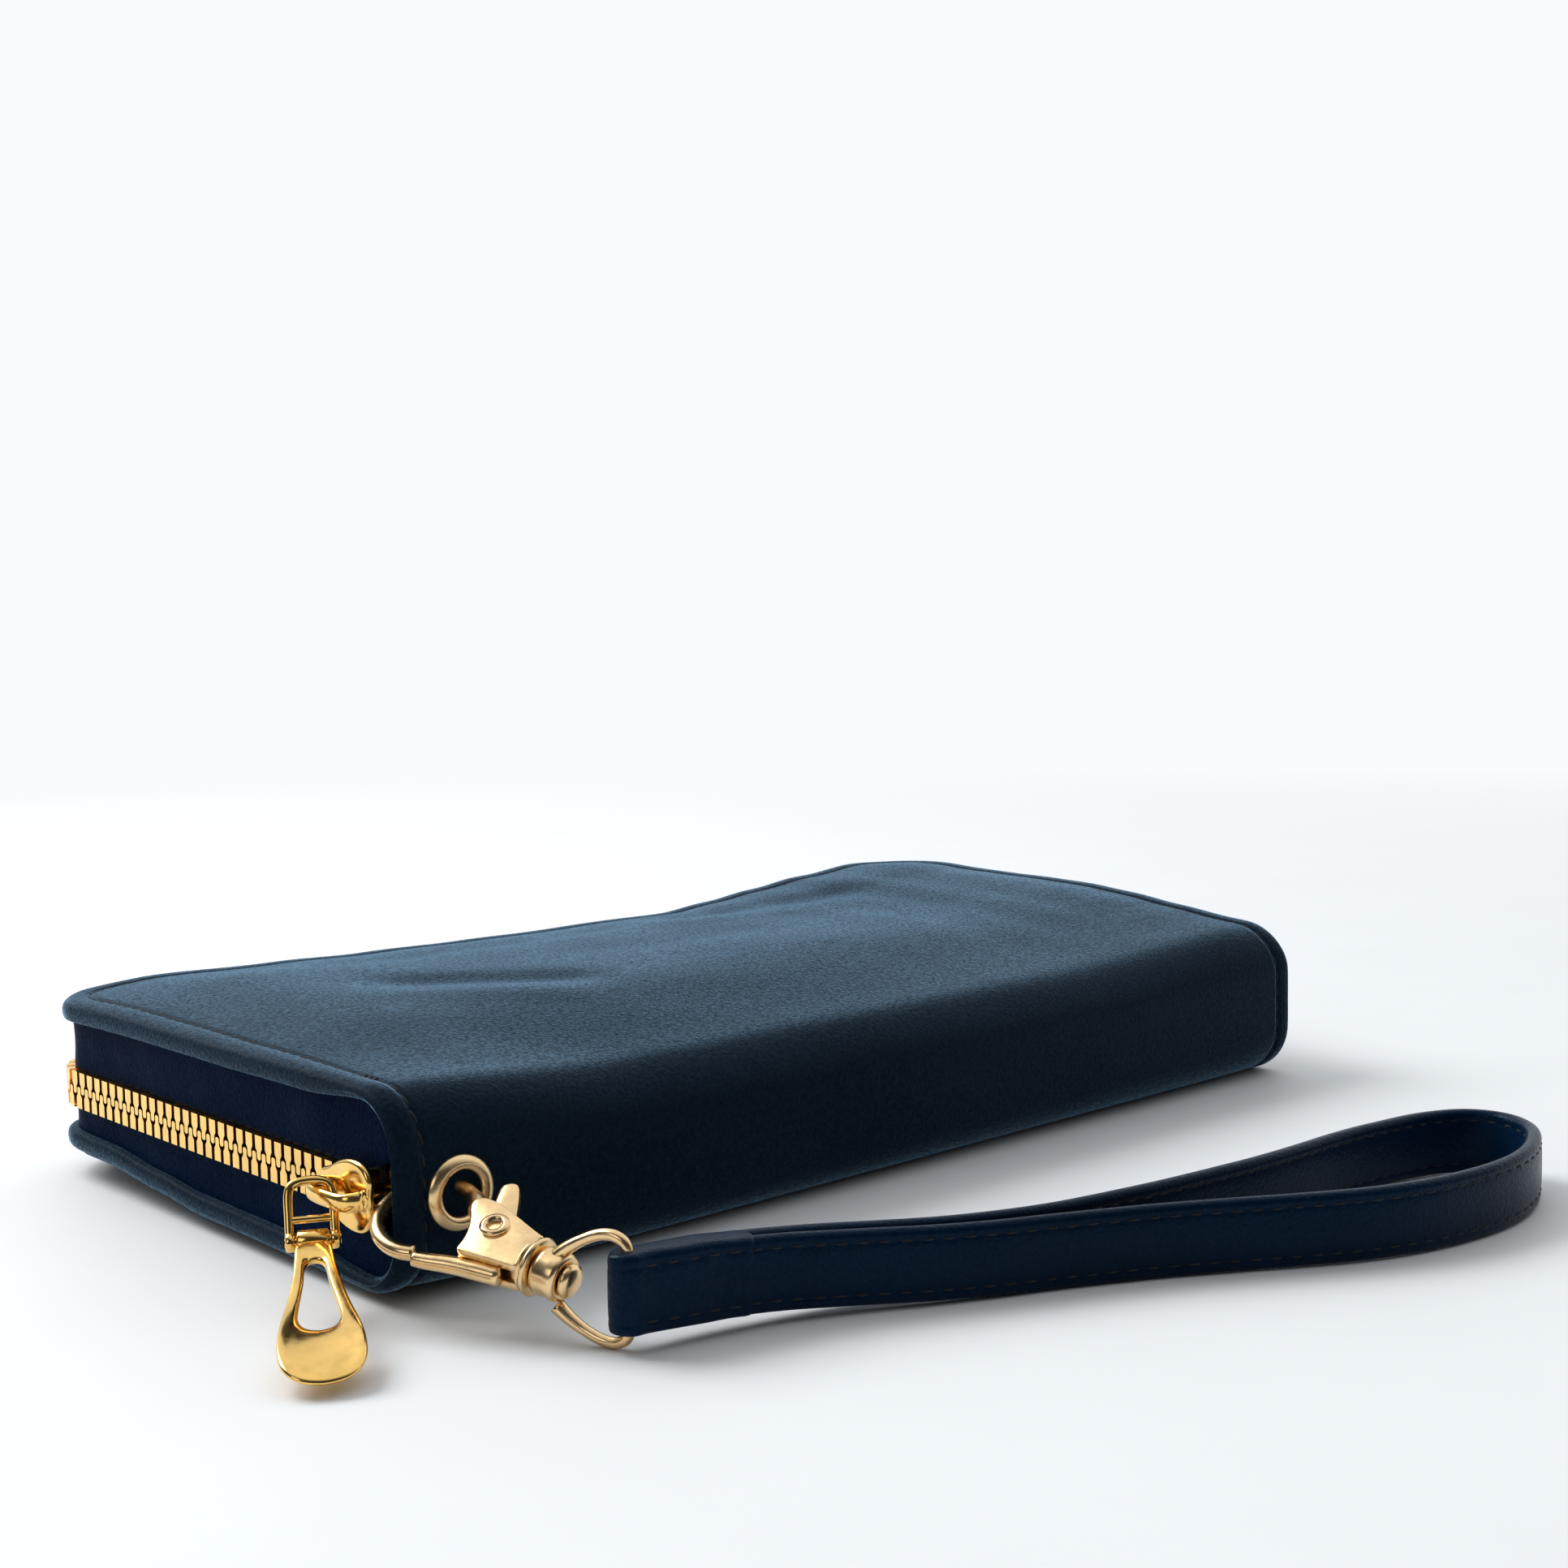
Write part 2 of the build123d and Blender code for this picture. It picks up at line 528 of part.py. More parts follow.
def coin_pocket_parts():
    depth = COIN_MOUTH - COIN_START
    sheet = Box(COIN_WIDTH, depth, COIN_SHEET)
    middle_y = COIN_START + depth / 2
    level = COIN_HALF - COIN_SHEET / 2
    inner = 2 * (COIN_HALF - COIN_SHEET)
    side = Box(COIN_SHEET, depth, inner)
    seam = Box(COIN_WIDTH - 2 * COIN_SHEET, COIN_SHEET, inner)
    x_side = COIN_WIDTH / 2 - COIN_SHEET / 2
    gusset = Pos(-x_side, middle_y, ZIP_Z) * side + Pos(x_side, middle_y, ZIP_Z) * side
    gusset += Pos(0, COIN_START + COIN_SHEET / 2, ZIP_Z) * seam
    tape_height = inner / 2 - COIN_TOOTH_HALF + 0.5
    tape_z = inner / 2 - tape_height / 2
    tape = Box(COIN_WIDTH - 2 * COIN_SHEET, COIN_TAPE, tape_height)
    tape_y = COIN_MOUTH - 2.0
    tapes = [Pos(0, tape_y, ZIP_Z + z) * tape for z in (tape_z, -tape_z)]
    return {
        "coin_pocket_back_panel": Pos(0, middle_y, ZIP_Z - level) * sheet,
        "coin_pocket_front_panel": Pos(0, middle_y, ZIP_Z + level) * sheet,
        "coin_pocket_gusset": gusset,
        "coin_zip_tapes": Compound([tape.solid() for tape in tapes]),
        "coin_zip_teeth": coin_zip_teeth(tape_y),
    }


def coin_zip_teeth(y):
    """Both rows of small teeth, alternating along the mouth of the pocket."""
    width = COIN_PITCH / 2 - 0.25
    height = COIN_TOOTH_HALF + 0.35
    one = Box(width, COIN_TOOTH_THICK, height)
    start = -COIN_WIDTH / 2 + 10.0
    count = int((COIN_WIDTH - 14.0) / (COIN_PITCH / 2))
    solids = []
    for i in range(count):
        side = 1 if i % 2 else -1
        z = ZIP_Z + side * (COIN_TOOTH_HALF - height / 2)
        solids.append((Pos(start + i * COIN_PITCH / 2, y, z) * one).solid())
    return Compound(solids)


def coin_slider():
    """Small slider at the closed end of the coin pocket."""
    y = COIN_MOUTH - 2.0
    gap = COIN_TOOTH_THICK / 2 + 0.2
    plate = Box(7.0, 0.8, 4.6)
    outer = Pos(0, gap + 0.4, 0) * plate
    inner = Pos(0, -gap - 0.4, 0) * plate
    wedge = Pos(-2.6, 0, 0) * Box(1.2, 2 * gap, 1.0)
    lug = Pos(0, gap + 1.7, 0) * Box(3.0, 1.8, 1.2) - Pos(0, gap + 1.8, 0) * Cylinder(0.5, 4)
    return Pos(COIN_SLIDER_X, y, ZIP_Z) * (outer + inner + wedge + lug)


def coin_pull():
    """Thin tab with a ring end through the slider's lug."""
    y = COIN_MOUTH - 2.0 + COIN_TOOTH_THICK / 2 + 2.0
    rail = CenterArc((1.9, 0), 1.9, 20, 320)
    loop = sweep(Plane(rail ^ 0) * Circle(0.35), path=rail)
    blade = Pos(8.6, 0, 0) * Box(10.0, 3.0, 0.8) - Pos(10.8, 0, 0) * Cylinder(0.8, 4)
    tab = Rot(90, 0, 0) * (loop + blade)
    return Pos(COIN_SLIDER_X, y, ZIP_Z) * tab


# ---- write every node ----
def all_nodes():
    nodes = {}
    nodes.update(covers())
    nodes["spine_lining"] = spine_lining()
    nodes.update(zip_parts())
    nodes["zip_slider"] = slider_body()
    nodes["pull_link"] = pull_link()
    nodes["pull_pin"] = pull_pin()
    nodes["pull_tab"] = pull_tab()
    nodes.update(eyelet_parts())
    nodes["hook_frame"] = hook_frame()
    nodes["hook_rivet"] = hook_rivet()
    nodes["hook_gate"] = hook_gate()
    nodes["gate_spring"] = gate_spring()
    nodes["swivel_ring"] = swivel_ring()
    nodes["strap_band"] = strap_band()
    nodes["strap_fold"] = strap_fold()
    for index in range(CARD_SLOTS):
        strip = card_slot(index)
        nodes[f"back_card_slot_{index + 1}"] = strip
        nodes[f"front_card_slot_{index + 1}"] = flip(strip)
    nodes.update(coin_pocket_parts())
    nodes["coin_slider"] = coin_slider()
    nodes["coin_pull"] = coin_pull()
    return nodes


os.makedirs("parts", exist_ok=True)
for name, shape in all_nodes().items():
    export_step(shape, f"parts/{name}.step")
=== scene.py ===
import bpy
import bmesh
import math
from mathutils import Matrix, Vector, noise


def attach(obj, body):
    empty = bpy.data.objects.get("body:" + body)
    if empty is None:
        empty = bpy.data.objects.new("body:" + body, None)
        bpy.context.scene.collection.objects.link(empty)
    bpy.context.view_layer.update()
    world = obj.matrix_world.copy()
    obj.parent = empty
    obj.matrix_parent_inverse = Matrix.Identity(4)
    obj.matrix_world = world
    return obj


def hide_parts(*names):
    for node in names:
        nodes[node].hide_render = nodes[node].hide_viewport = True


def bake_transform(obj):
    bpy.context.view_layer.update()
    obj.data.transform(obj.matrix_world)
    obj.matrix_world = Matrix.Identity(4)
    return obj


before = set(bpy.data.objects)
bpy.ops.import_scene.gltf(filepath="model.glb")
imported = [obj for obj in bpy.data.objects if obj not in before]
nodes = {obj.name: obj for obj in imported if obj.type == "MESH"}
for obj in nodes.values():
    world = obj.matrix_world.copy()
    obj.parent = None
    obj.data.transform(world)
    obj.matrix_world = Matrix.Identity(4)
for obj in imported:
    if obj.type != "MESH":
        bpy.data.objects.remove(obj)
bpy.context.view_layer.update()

# ---- sizes, mm
MM = 0.001
LENGTH, DEPTH, HEIGHT = 195.0, 109.0, 29.0
LEFT, RIGHT = -LENGTH / 2, LENGTH / 2
SPINE, FAR = -DEPTH / 2, DEPTH / 2
COVER, SPINE_LEATHER = 3.2, 2.0
SPINE_R, CORNER_R = 9.0, 12.0
ZIP_Z = HEIGHT / 2
STITCH_INSET = 4.3
STITCH_PITCH = 2.9
EDGE_ZONE, STATION_STEP = 12.0, 3.0
EDGE_ROLL_R, INNER_ROLL_R = 1.35, 1.1
SPINE_FALL, FALL_REACH = 4.4, 54
PADDING = 2.2
SHEET_LIFT = 0.45


# ---- mesh helpers
def smooth(t):
    """Smooth step from 0 to 1 as t goes from 0 to 1."""
    t = min(max(t, 0.0), 1.0)
    return t * t * (3 - 2 * t)


def along(table, t):
    """Smooth value from a short table of (position, value) pairs."""
    if t <= table[0][0]:
        return table[0][1]
    for (a, va), (b, vb) in zip(table, table[1:]):
        if t <= b:
            return va + (vb - va) * smooth((t - a) / (b - a))
    return table[-1][1]


def new_object(name, verts, faces):
    """Smooth-shaded mesh object from points in mm, with doubled points merged."""
    mesh = bpy.data.meshes.new(name)
    mesh.from_pydata([Vector(v) * MM for v in verts], [], faces)
    mesh.validate()
    bm = bmesh.new()
    bm.from_mesh(mesh)
    bmesh.ops.remove_doubles(bm, verts=bm.verts, dist=1e-7)
    bmesh.ops.recalc_face_normals(bm, faces=bm.faces)
    bm.to_mesh(mesh)
    bm.free()
    obj = bpy.data.objects.new(name, mesh)
    bpy.context.scene.collection.objects.link(obj)
    mesh.shade_smooth()
    return obj


def grid_faces(rows, cols, base=0, close_rows=False, close_cols=False):
    """Quads of a grid of points, joined round where asked."""
    faces = []
    last_row = rows if close_rows else rows - 1
    last_col = cols if close_cols else cols - 1
    for i in range(last_row):
        for j in range(last_col):
            a, b = i, (i + 1) % rows
            c, d = j, (j + 1) % cols
            faces.append((base + a * cols + c, base + b * cols + c,
                          base + b * cols + d, base + a * cols + d))
    return faces


def grid_object(name, grid, close_rows=False, close_cols=False):
    """Object from rows of points, all rows of one length."""
    verts = [p for row in grid for p in row]
    faces = grid_faces(len(grid), len(grid[0]), 0, close_rows, close_cols)
    return new_object(name, verts, faces)


def add_modifier(obj, kind, **values):
    """Add a modifier of a kind, with its settings."""
    modifier = obj.modifiers.new(kind.title(), kind)
    for key, value in values.items():
        setattr(modifier, key, value)
    return modifier


def ruffle(x, y, z, scale, seed=0.0):
    """Soft seeded unevenness, about -1 to 1."""
    return noise.noise(Vector((x / scale + seed, y / scale - seed, z / scale + 2 * seed)))


# ---- how the soft wallet sits
# Rise of the top along its far edge, by distance from the left end
FAR_TOP = [(0, -1.0), (8, -0.5), (20, 0.0), (41, -0.6), (60, -1.2), (81, -1.8), (104, -2.2),
           (129, -2.2), (142, -1.0), (155, 0.2), (169, 1.6), (184, 2.8), (195, 2.6)]
# Share of that rise where it is upward, by distance from the spine
RIGHT_RISE = [(0, 0.0), (13, 0.05), (25, 0.2), (37, 0.5), (49, 0.75), (62, 0.85), (76, 0.95),
              (90, 1.1), (109, 1.0)]
# Curl of the back cover at its left end, by distance from the spine
LEFT_CURL = [(0, 1.2), (55, 1.8), (69, 2.8), (86, 4.0), (109, 4.4)]
# Folds in the top: start and end from the left end and spine, half width, depth below flat
FOLDS = [(38, 62, 64, 45, 4.4, 1.15), (48, 85, 104, 89, 4.6, 0.9), (120, 91, 158, 84, 5.8, 1.3),
         (30, 52, 56, 36, 4.0, -0.35), (112, 80, 136, 73, 4.0, -0.35), (75, 66, 118, 60, 6.0, 0.35)]


def fold(across, back, ax, ay, bx, by, width, depth):
    """A soft valley (or ridge, where the depth is negative) along a short line, fading at both ends."""
    dx, dy = bx - ax, by - ay
    t = ((across - ax) * dx + (back - ay) * dy) / (dx * dx + dy * dy)
    off = ((across - ax) * dy - (back - ay) * dx) / math.hypot(dx, dy)
    return -depth * math.exp(-(off / width) ** 2) * smooth((t + 0.25) / 0.4) * smooth((1.25 - t) / 0.4)


def top_warp(x, y):
    """How far the front cover stands above or below flat, from the plan position."""
    across, back = x - LEFT, y - SPINE
    edge = along(FAR_TOP, across)
    share = along(RIGHT_RISE, back) if edge > 0 else (max(back, 0) / DEPTH) ** 1.6
    soft = smooth(back / 25)
    dents = 0.34 * ruffle(x, y, 3.0, 38.0) + 0.16 * ruffle(x, y, 1.0, 15.0, 5.0)
    ends = smooth(across / 48) * (0.4 + 0.6 * smooth((LENGTH - across) / 55))
    fall = -SPINE_FALL * max(1 - max(back, 0) / FALL_REACH, 0) ** 2 * ends
    swell = PADDING * smooth((back - 12) / 32) * smooth((DEPTH - back) / 26) * smooth((across + 6) / 34)
    swell *= 0.35 + 0.65 * smooth((LENGTH - across) / 70)
    marks = sum(fold(across, back, *f) for f in FOLDS) * smooth((DEPTH - back) / 14)
    return edge * share + dents * soft + fall + swell + marks


def bottom_warp(x, y):
    """How far the back cover curls up off the table near its left end."""
    across, back = x - LEFT, y - SPINE
    return along(LEFT_CURL, back) * (1 - smooth(across / 46)) ** 1.5


def cover_warp(x, y, z):
    """Warp of the cover on this side of the zip."""
    return top_warp(x, y) if z > HEIGHT / 2 else bottom_warp(x, y)


def cover_share(z):
    """1 at the outside faces, falling to 0 at the height of the zip."""
    return 1 - smooth(1 - abs(z - HEIGHT / 2) / (HEIGHT / 2))


# ---- leather wrap
EDGE_STATIONS = [0, 0.15, 0.45, 0.9, 1.5, 2.2, 3.0, 3.6, 3.95, 4.3, 4.65, 5.0, 5.6, 6.8, 8.6, 10.4, EDGE_ZONE]
NO_EDGE = 99


def stations(width, open_end):
    """Distances from a finished edge: fine over the rolled edge and stitch groove, then even."""
    if open_end:
        rest = width - EDGE_ZONE
        count = int(rest / STATION_STEP)
        return EDGE_STATIONS + [EDGE_ZONE + rest * (i + 1) / count for i in range(count)]
    rest = width - 2 * EDGE_ZONE
    count = int(rest / STATION_STEP)
    middle = [EDGE_ZONE + rest * (i + 1) / count for i in range(count - 1)]
    return EDGE_STATIONS + middle + [width - d for d in reversed(EDGE_STATIONS)]


def section_points():
    """(y, z, normal y, normal z, distance from the far edge) round the section, bottom to top."""
    flat = DEPTH - SPINE_R
    points = [(FAR - d, 0.0, 0.0, -1.0, d) for d in stations(flat, True)]
    tangent = SPINE + SPINE_R
    steps = 9
    for i in range(1, steps + 1):
        a = math.pi / 2 * i / steps
        y, z = tangent - SPINE_R * math.sin(a), SPINE_R - SPINE_R * math.cos(a)
        points.append((y, z, -math.sin(a), -math.cos(a), NO_EDGE))
    straight = HEIGHT - 2 * SPINE_R
    for i in range(1, 5):
        points.append((SPINE, SPINE_R + straight * i / 5, -1.0, 0.0, NO_EDGE))
    mirrored = [(y, HEIGHT - z, ny, -nz, d) for y, z, ny, nz, d in reversed(points[:-4])]
    return points + mirrored


def plan_corner(x, y):
    """Pull the square far corners of the grid into round ones, keeping edge distances."""
    cx, cy = RIGHT - CORNER_R, FAR - CORNER_R
    du, dv = abs(x) - cx, y - cy
    if du <= 0 or dv <= 0:
        return x, y
    k = max(du, dv) / math.hypot(du, dv)
    return math.copysign(cx + du * k, x), cy + dv * k


def roll(d, r):
    """Rounding of a rolled edge of radius r at a distance d from the edge."""
    if d >= r:
        return 0.0
    return r - math.sqrt(max(r * r - (r - d) ** 2, 0.0))


def outer_profile(d):
    """Height of the outside by edge distance: rolled edge, padded band, stitch groove, soft panel."""
    band = 0.16 * math.exp(-((d - 2.3) / 1.3) ** 2)
    groove = 0.34 * math.exp(-((d - STITCH_INSET) / 0.42) ** 2)
    panel = 0.12 * smooth((d - 5.0) / 5.0)
    return band - groove + panel - roll(d, EDGE_ROLL_R)


def wrap_point(x, point, inside):
    """Place of a wrap vertex on the outside or inside of the leather."""
    y, z, ny, nz, far_d = point
    end_d = min(x - LEFT, RIGHT - x)
    d = min(end_d, far_d)
    px, py = plan_corner(x, y)
    if inside:
        thick = SPINE_LEATHER + (COVER - SPINE_LEATHER) * smooth((y - SPINE - SPINE_R) / 14)
        push = -thick + roll(d, INNER_ROLL_R)
    else:
        push = outer_profile(d)
    py, pz = py + ny * push, z + nz * push
    return Vector((px, py, pz + cover_warp(px, py, z) * cover_share(z)))


def leather_wrap():
    """One leather sheet with thickness: back cover, spine and front cover."""
    xs = [LEFT + d for d in stations(LENGTH, False)]
    section = section_points()
    outer = [[wrap_point(x, p, False) for p in section] for x in xs]
    inner = [[wrap_point(x, p, True) for p in section] for x in xs]
    rows, cols = len(xs), len(section)
    verts = [p for row in outer for p in row] + [p for row in inner for p in row]
    half = rows * cols
    faces = grid_faces(rows, cols) + grid_faces(rows, cols, half)
    for j in range(cols - 1):
        faces.append((j, j + 1, half + j + 1, half + j))
        k = (rows - 1) * cols + j
        faces.append((k, k + 1, half + k + 1, half + k))
    for i in range(rows - 1):
        a, b = i * cols, (i + 1) * cols
        faces.append((a, b, half + b, half + a))
        faces.append((a + cols - 1, b + cols - 1, half + b + cols - 1, half + a + cols - 1))
    return new_object("leather_wrap", verts, faces)


# ---- materials
def material(name):
    """New material: itself, its tree, its shader and the object coordinates."""
    m = bpy.data.materials.new(name)
    m.use_nodes = True
    tree = m.node_tree
    shader = tree.nodes["Principled BSDF"]
    coords = tree.nodes.new("ShaderNodeTexCoord")
    return m, tree, shader, coords.outputs["Object"]


def texture(tree, coords, kind, scale, **sockets):
    """Procedural texture node on the object coordinates."""
    n = tree.nodes.new(kind)
    n.inputs["Scale"].default_value = scale
    for key, value in sockets.items():
        n.inputs[key].default_value = value
    tree.links.new(coords, n.inputs["Vector"])
    return n


def ramp(tree, value, stops):
    """Colour read from a value between two (position, colour) stops."""
    n = tree.nodes.new("ShaderNodeValToRGB")
    n.color_ramp.elements[0].position, n.color_ramp.elements[0].color = stops[0]
    n.color_ramp.elements[1].position, n.color_ramp.elements[1].color = stops[1]
    tree.links.new(value, n.inputs["Fac"])
    return n.outputs["Color"]


def maths(tree, kind, a, b):
    """Output of a maths node on two values or sockets."""
    n = tree.nodes.new("ShaderNodeMath")
    n.operation = kind
    for socket, value in ((n.inputs[0], a), (n.inputs[1], b)):
        if hasattr(value, "is_linked"):
            tree.links.new(value, socket)
        else:
            socket.default_value = value
    return n.outputs[0]


def bump(tree, height, strength, distance):
    """Surface normal shaped by a height."""
    n = tree.nodes.new("ShaderNodeBump")
    n.inputs["Strength"].default_value = strength
    n.inputs["Distance"].default_value = distance
    tree.links.new(height, n.inputs["Height"])
    return n.outputs["Normal"]


def span(tree, value, low, high, out_low, out_high):
    """Output of a node that maps low..high to out_low..out_high, held at the ends."""
    n = tree.nodes.new("ShaderNodeMapRange")
    for key, v in (("From Min", low), ("From Max", high), ("To Min", out_low), ("To Max", out_high)):
        n.inputs[key].default_value = v
    tree.links.new(value, n.inputs["Value"])
    return n.outputs["Result"]


def leather(name, dark, light, pebble, depth, rough_low, rough_high, ior, sheen):
    """Coated leather: pebbles with fine creases, slight colour and gloss drift, a bloom seen edge on."""
    m, tree, shader, coords = material(name)
    cells = texture(tree, coords, "ShaderNodeTexVoronoi", pebble)
    cells.feature = "SMOOTH_F1"
    fine = texture(tree, coords, "ShaderNodeTexNoise", pebble * 0.85, Detail=3.0, Roughness=0.7)
    broad = texture(tree, coords, "ShaderNodeTexNoise", 22.0, Detail=2.0, Roughness=0.5)
    grain = maths(tree, "ADD", maths(tree, "MULTIPLY", cells.outputs["Distance"], -0.7),
                  maths(tree, "MULTIPLY", fine.outputs["Fac"], 0.6))
    tone = maths(tree, "ADD", maths(tree, "MULTIPLY", broad.outputs["Fac"], 0.4),
                 maths(tree, "MULTIPLY", fine.outputs["Fac"], 0.6))
    tree.links.new(ramp(tree, tone, [(0.38, dark), (0.62, light)]), shader.inputs["Base Color"])
    tree.links.new(span(tree, tone, 0.35, 0.65, rough_high, rough_low), shader.inputs["Roughness"])
    shader.inputs["IOR"].default_value = ior
    shader.inputs["Specular Tint"].default_value = (0.50, 0.78, 1.0, 1)
    speck = span(tree, fine.outputs["Fac"], 0.38, 0.62, 0.35 * sheen, 1.65 * sheen)
    edge_on = tree.nodes.new("ShaderNodeLayerWeight")
    edge_on.inputs["Blend"].default_value = 0.5
    speck = maths(tree, "MULTIPLY", speck, span(tree, edge_on.outputs["Facing"], 0.50, 0.97, 0.17, 1.0))
    tree.links.new(speck, shader.inputs["Sheen Weight"])
    shader.inputs["Sheen Roughness"].default_value = 0.35
    shader.inputs["Sheen Tint"].default_value = (0.28, 0.50, 0.72, 1)
    tree.links.new(bump(tree, grain, 0.9, depth), shader.inputs["Normal"])
    return m


def plated(name, color, low, high, grain):
    """Plated metal with faint casting unevenness and handling marks in its gloss."""
    m, tree, shader, coords = material(name)
    fine = texture(tree, coords, "ShaderNodeTexNoise", 1400.0, Detail=2.0)
    broad = texture(tree, coords, "ShaderNodeTexNoise", 260.0, Detail=3.0, Roughness=0.6)
    shade = tuple(c * 0.86 for c in color[:3]) + (1,)
    tone = ramp(tree, broad.outputs["Fac"], [(0.35, shade), (0.6, color)])
    tree.links.new(tone, shader.inputs["Base Color"])
    tree.links.new(span(tree, broad.outputs["Fac"], 0.3, 0.7, low, high), shader.inputs["Roughness"])
    shader.inputs["Metallic"].default_value = 1.0
    tree.links.new(bump(tree, fine.outputs["Fac"], grain, 0.00004), shader.inputs["Normal"])
    return m


def woven(name, dark, light, pitch):
    """Plain weave: two crossed wave patterns with thread colour drift."""
    m, tree, shader, coords = material(name)
    across = texture(tree, coords, "ShaderNodeTexWave", pitch)
    across.bands_direction = "X"
    up = texture(tree, coords, "ShaderNodeTexWave", pitch)
    up.bands_direction = "DIAGONAL"
    weave = maths(tree, "MULTIPLY", across.outputs["Fac"], up.outputs["Fac"])
    drift = texture(tree, coords, "ShaderNodeTexNoise", 300.0, Detail=2.0)
    tone = maths(tree, "MULTIPLY", maths(tree, "ADD", weave, drift.outputs["Fac"]), 0.6)
    tree.links.new(ramp(tree, tone, [(0.2, dark), (0.8, light)]), shader.inputs["Base Color"])
    shader.inputs["Roughness"].default_value = 0.85
    shader.inputs["Sheen Weight"].default_value = 0.05
    tree.links.new(bump(tree, weave, 0.5, 0.0001), shader.inputs["Normal"])
    return m


SHELL = leather("shell_leather", dark=(0.0032, 0.0085, 0.0160, 1), light=(0.0070, 0.0160, 0.0290, 1),
                pebble=2100.0, depth=0.00010, rough_low=0.40, rough_high=0.54, ior=1.08, sheen=1.45)
STRAP = leather("strap_leather", dark=(0.0008, 0.0062, 0.0180, 1), light=(0.0016, 0.0120, 0.0340, 1),
                pebble=2100.0, depth=0.00010, rough_low=0.27, rough_high=0.40, ior=1.20, sheen=0.10)
GUSSET = leather("gusset_leather", dark=(0.0004, 0.0036, 0.0130, 1), light=(0.0018, 0.0098, 0.0340, 1),
                 pebble=2300.0, depth=0.00012, rough_low=0.36, rough_high=0.50, ior=1.04, sheen=0.06)
GOLD = plated("zip_gold", (0.95, 0.60, 0.18, 1), low=0.10, high=0.20, grain=0.10)
SATIN = plated("satin_gold", (0.93, 0.65, 0.34, 1), low=0.18, high=0.30, grain=0.25)
STEEL = plated("spring_steel", (0.62, 0.62, 0.63, 1), low=0.20, high=0.35, grain=0.2)
POCKET = leather("pocket_leather", dark=(0.0022, 0.0045, 0.0080, 1), light=(0.0050, 0.0090, 0.0150, 1),
                 pebble=2300.0, depth=0.00012, rough_low=0.40, rough_high=0.55, ior=1.20, sheen=0.2)
LINING = woven("lining_cloth", (0.006, 0.007, 0.010, 1), (0.045, 0.047, 0.055, 1), 900.0)
TAPE = woven("tape_cloth", (0.006, 0.007, 0.012, 1), (0.02, 0.022, 0.034, 1), 1300.0)
THREAD = woven("thread", (0.0022, 0.004, 0.007, 1), (0.006, 0.010, 0.016, 1), 2600.0)
BOARD = woven("board", (0.10, 0.09, 0.08, 1), (0.22, 0.20, 0.17, 1), 500.0)


def paint(obj, mat):
    """Give an object one material."""
    obj.data.materials.clear()
    obj.data.materials.append(mat)
    return obj


CAD_PAINT = {
    GOLD: ["back_zip_teeth", "front_zip_teeth", "back_top_stop", "front_top_stop", "back_end_stop",
           "front_end_stop", "zip_slider", "pull_link", "pull_pin", "pull_tab", "coin_zip_teeth",
           "coin_slider", "coin_pull"],
    SATIN: ["eyelet", "eyelet_washer", "hook_frame", "hook_rivet", "hook_gate", "swivel_ring"],
    STEEL: ["gate_spring"],
    LINING: ["back_lining", "front_lining", "spine_lining", "coin_pocket_gusset"],
    POCKET: ["coin_pocket_back_panel", "coin_pocket_front_panel"],
    TAPE: ["back_zip_tape", "front_zip_tape", "coin_zip_tapes"],
    BOARD: ["back_board", "front_board"],
    SHELL: ["back_cover", "front_cover"],
    GUSSET: ["back_gusset", "front_gusset"],
    STRAP: ["strap_band", "strap_fold"],
}
for mat, names in CAD_PAINT.items():
    for name in names:
        paint(nodes[name], mat)
for name in ["back_zip_teeth", "front_zip_teeth", "pull_pin", "coin_slider"]:
    add_modifier(nodes[name], "BEVEL", width=0.00022, segments=2, limit_method="ANGLE", angle_limit=0.6)


# ---- shape helpers
def soften(outline, rounds):
    """Corner cutting: turns a plain closed outline into one with soft corners."""
    for _ in range(rounds):
        cut = []
        for a, b in zip(outline, outline[1:] + outline[:1]):
            cut += [a.lerp(b, 0.25), a.lerp(b, 0.75)]
        outline = cut
    return outline


def frame_matrix(origin, x_dir, y_dir):
    """Matrix with its X along x_dir and its Y near y_dir."""
    x = Vector(x_dir).normalized()
    z = x.cross(Vector(y_dir)).normalized()
    y = z.cross(x)
    m = Matrix((x, y, z)).transposed().to_4x4()
    m.translation = Vector(origin)
    return m


def plate(name, outline, low, high, place, bevel=0.4, rounds=2, segments=3):
    """Flat piece cut to a soft outline, with rolled edges."""
    line = soften([Vector((x, y, 0)) for x, y in outline], rounds)
    count = len(line)
    verts = [place @ Vector((p.x, p.y, z)) for z in (low, high) for p in line]
    faces = [tuple(range(count)), tuple(range(count, 2 * count))]
    faces += [(i, (i + 1) % count, count + (i + 1) % count, count + i) for i in range(count)]
    obj = new_object(name, verts, faces)
    add_modifier(obj, "BEVEL", width=bevel * MM, segments=segments, limit_method="ANGLE",
                 angle_limit=0.9)
    return obj


def lathe(name, profile, place, turns=40):
    """Turned piece: (along X, radius) pairs round the local X axis; a ring where radii are not 0."""
    grid = []
    for k in range(turns):
        a = 2 * math.pi * k / turns
        grid.append([place @ Vector((x, r * math.cos(a), r * math.sin(a))) for x, r in profile])
    closed = profile[0][1] > 0
    return grid_object(name, grid, True, closed)


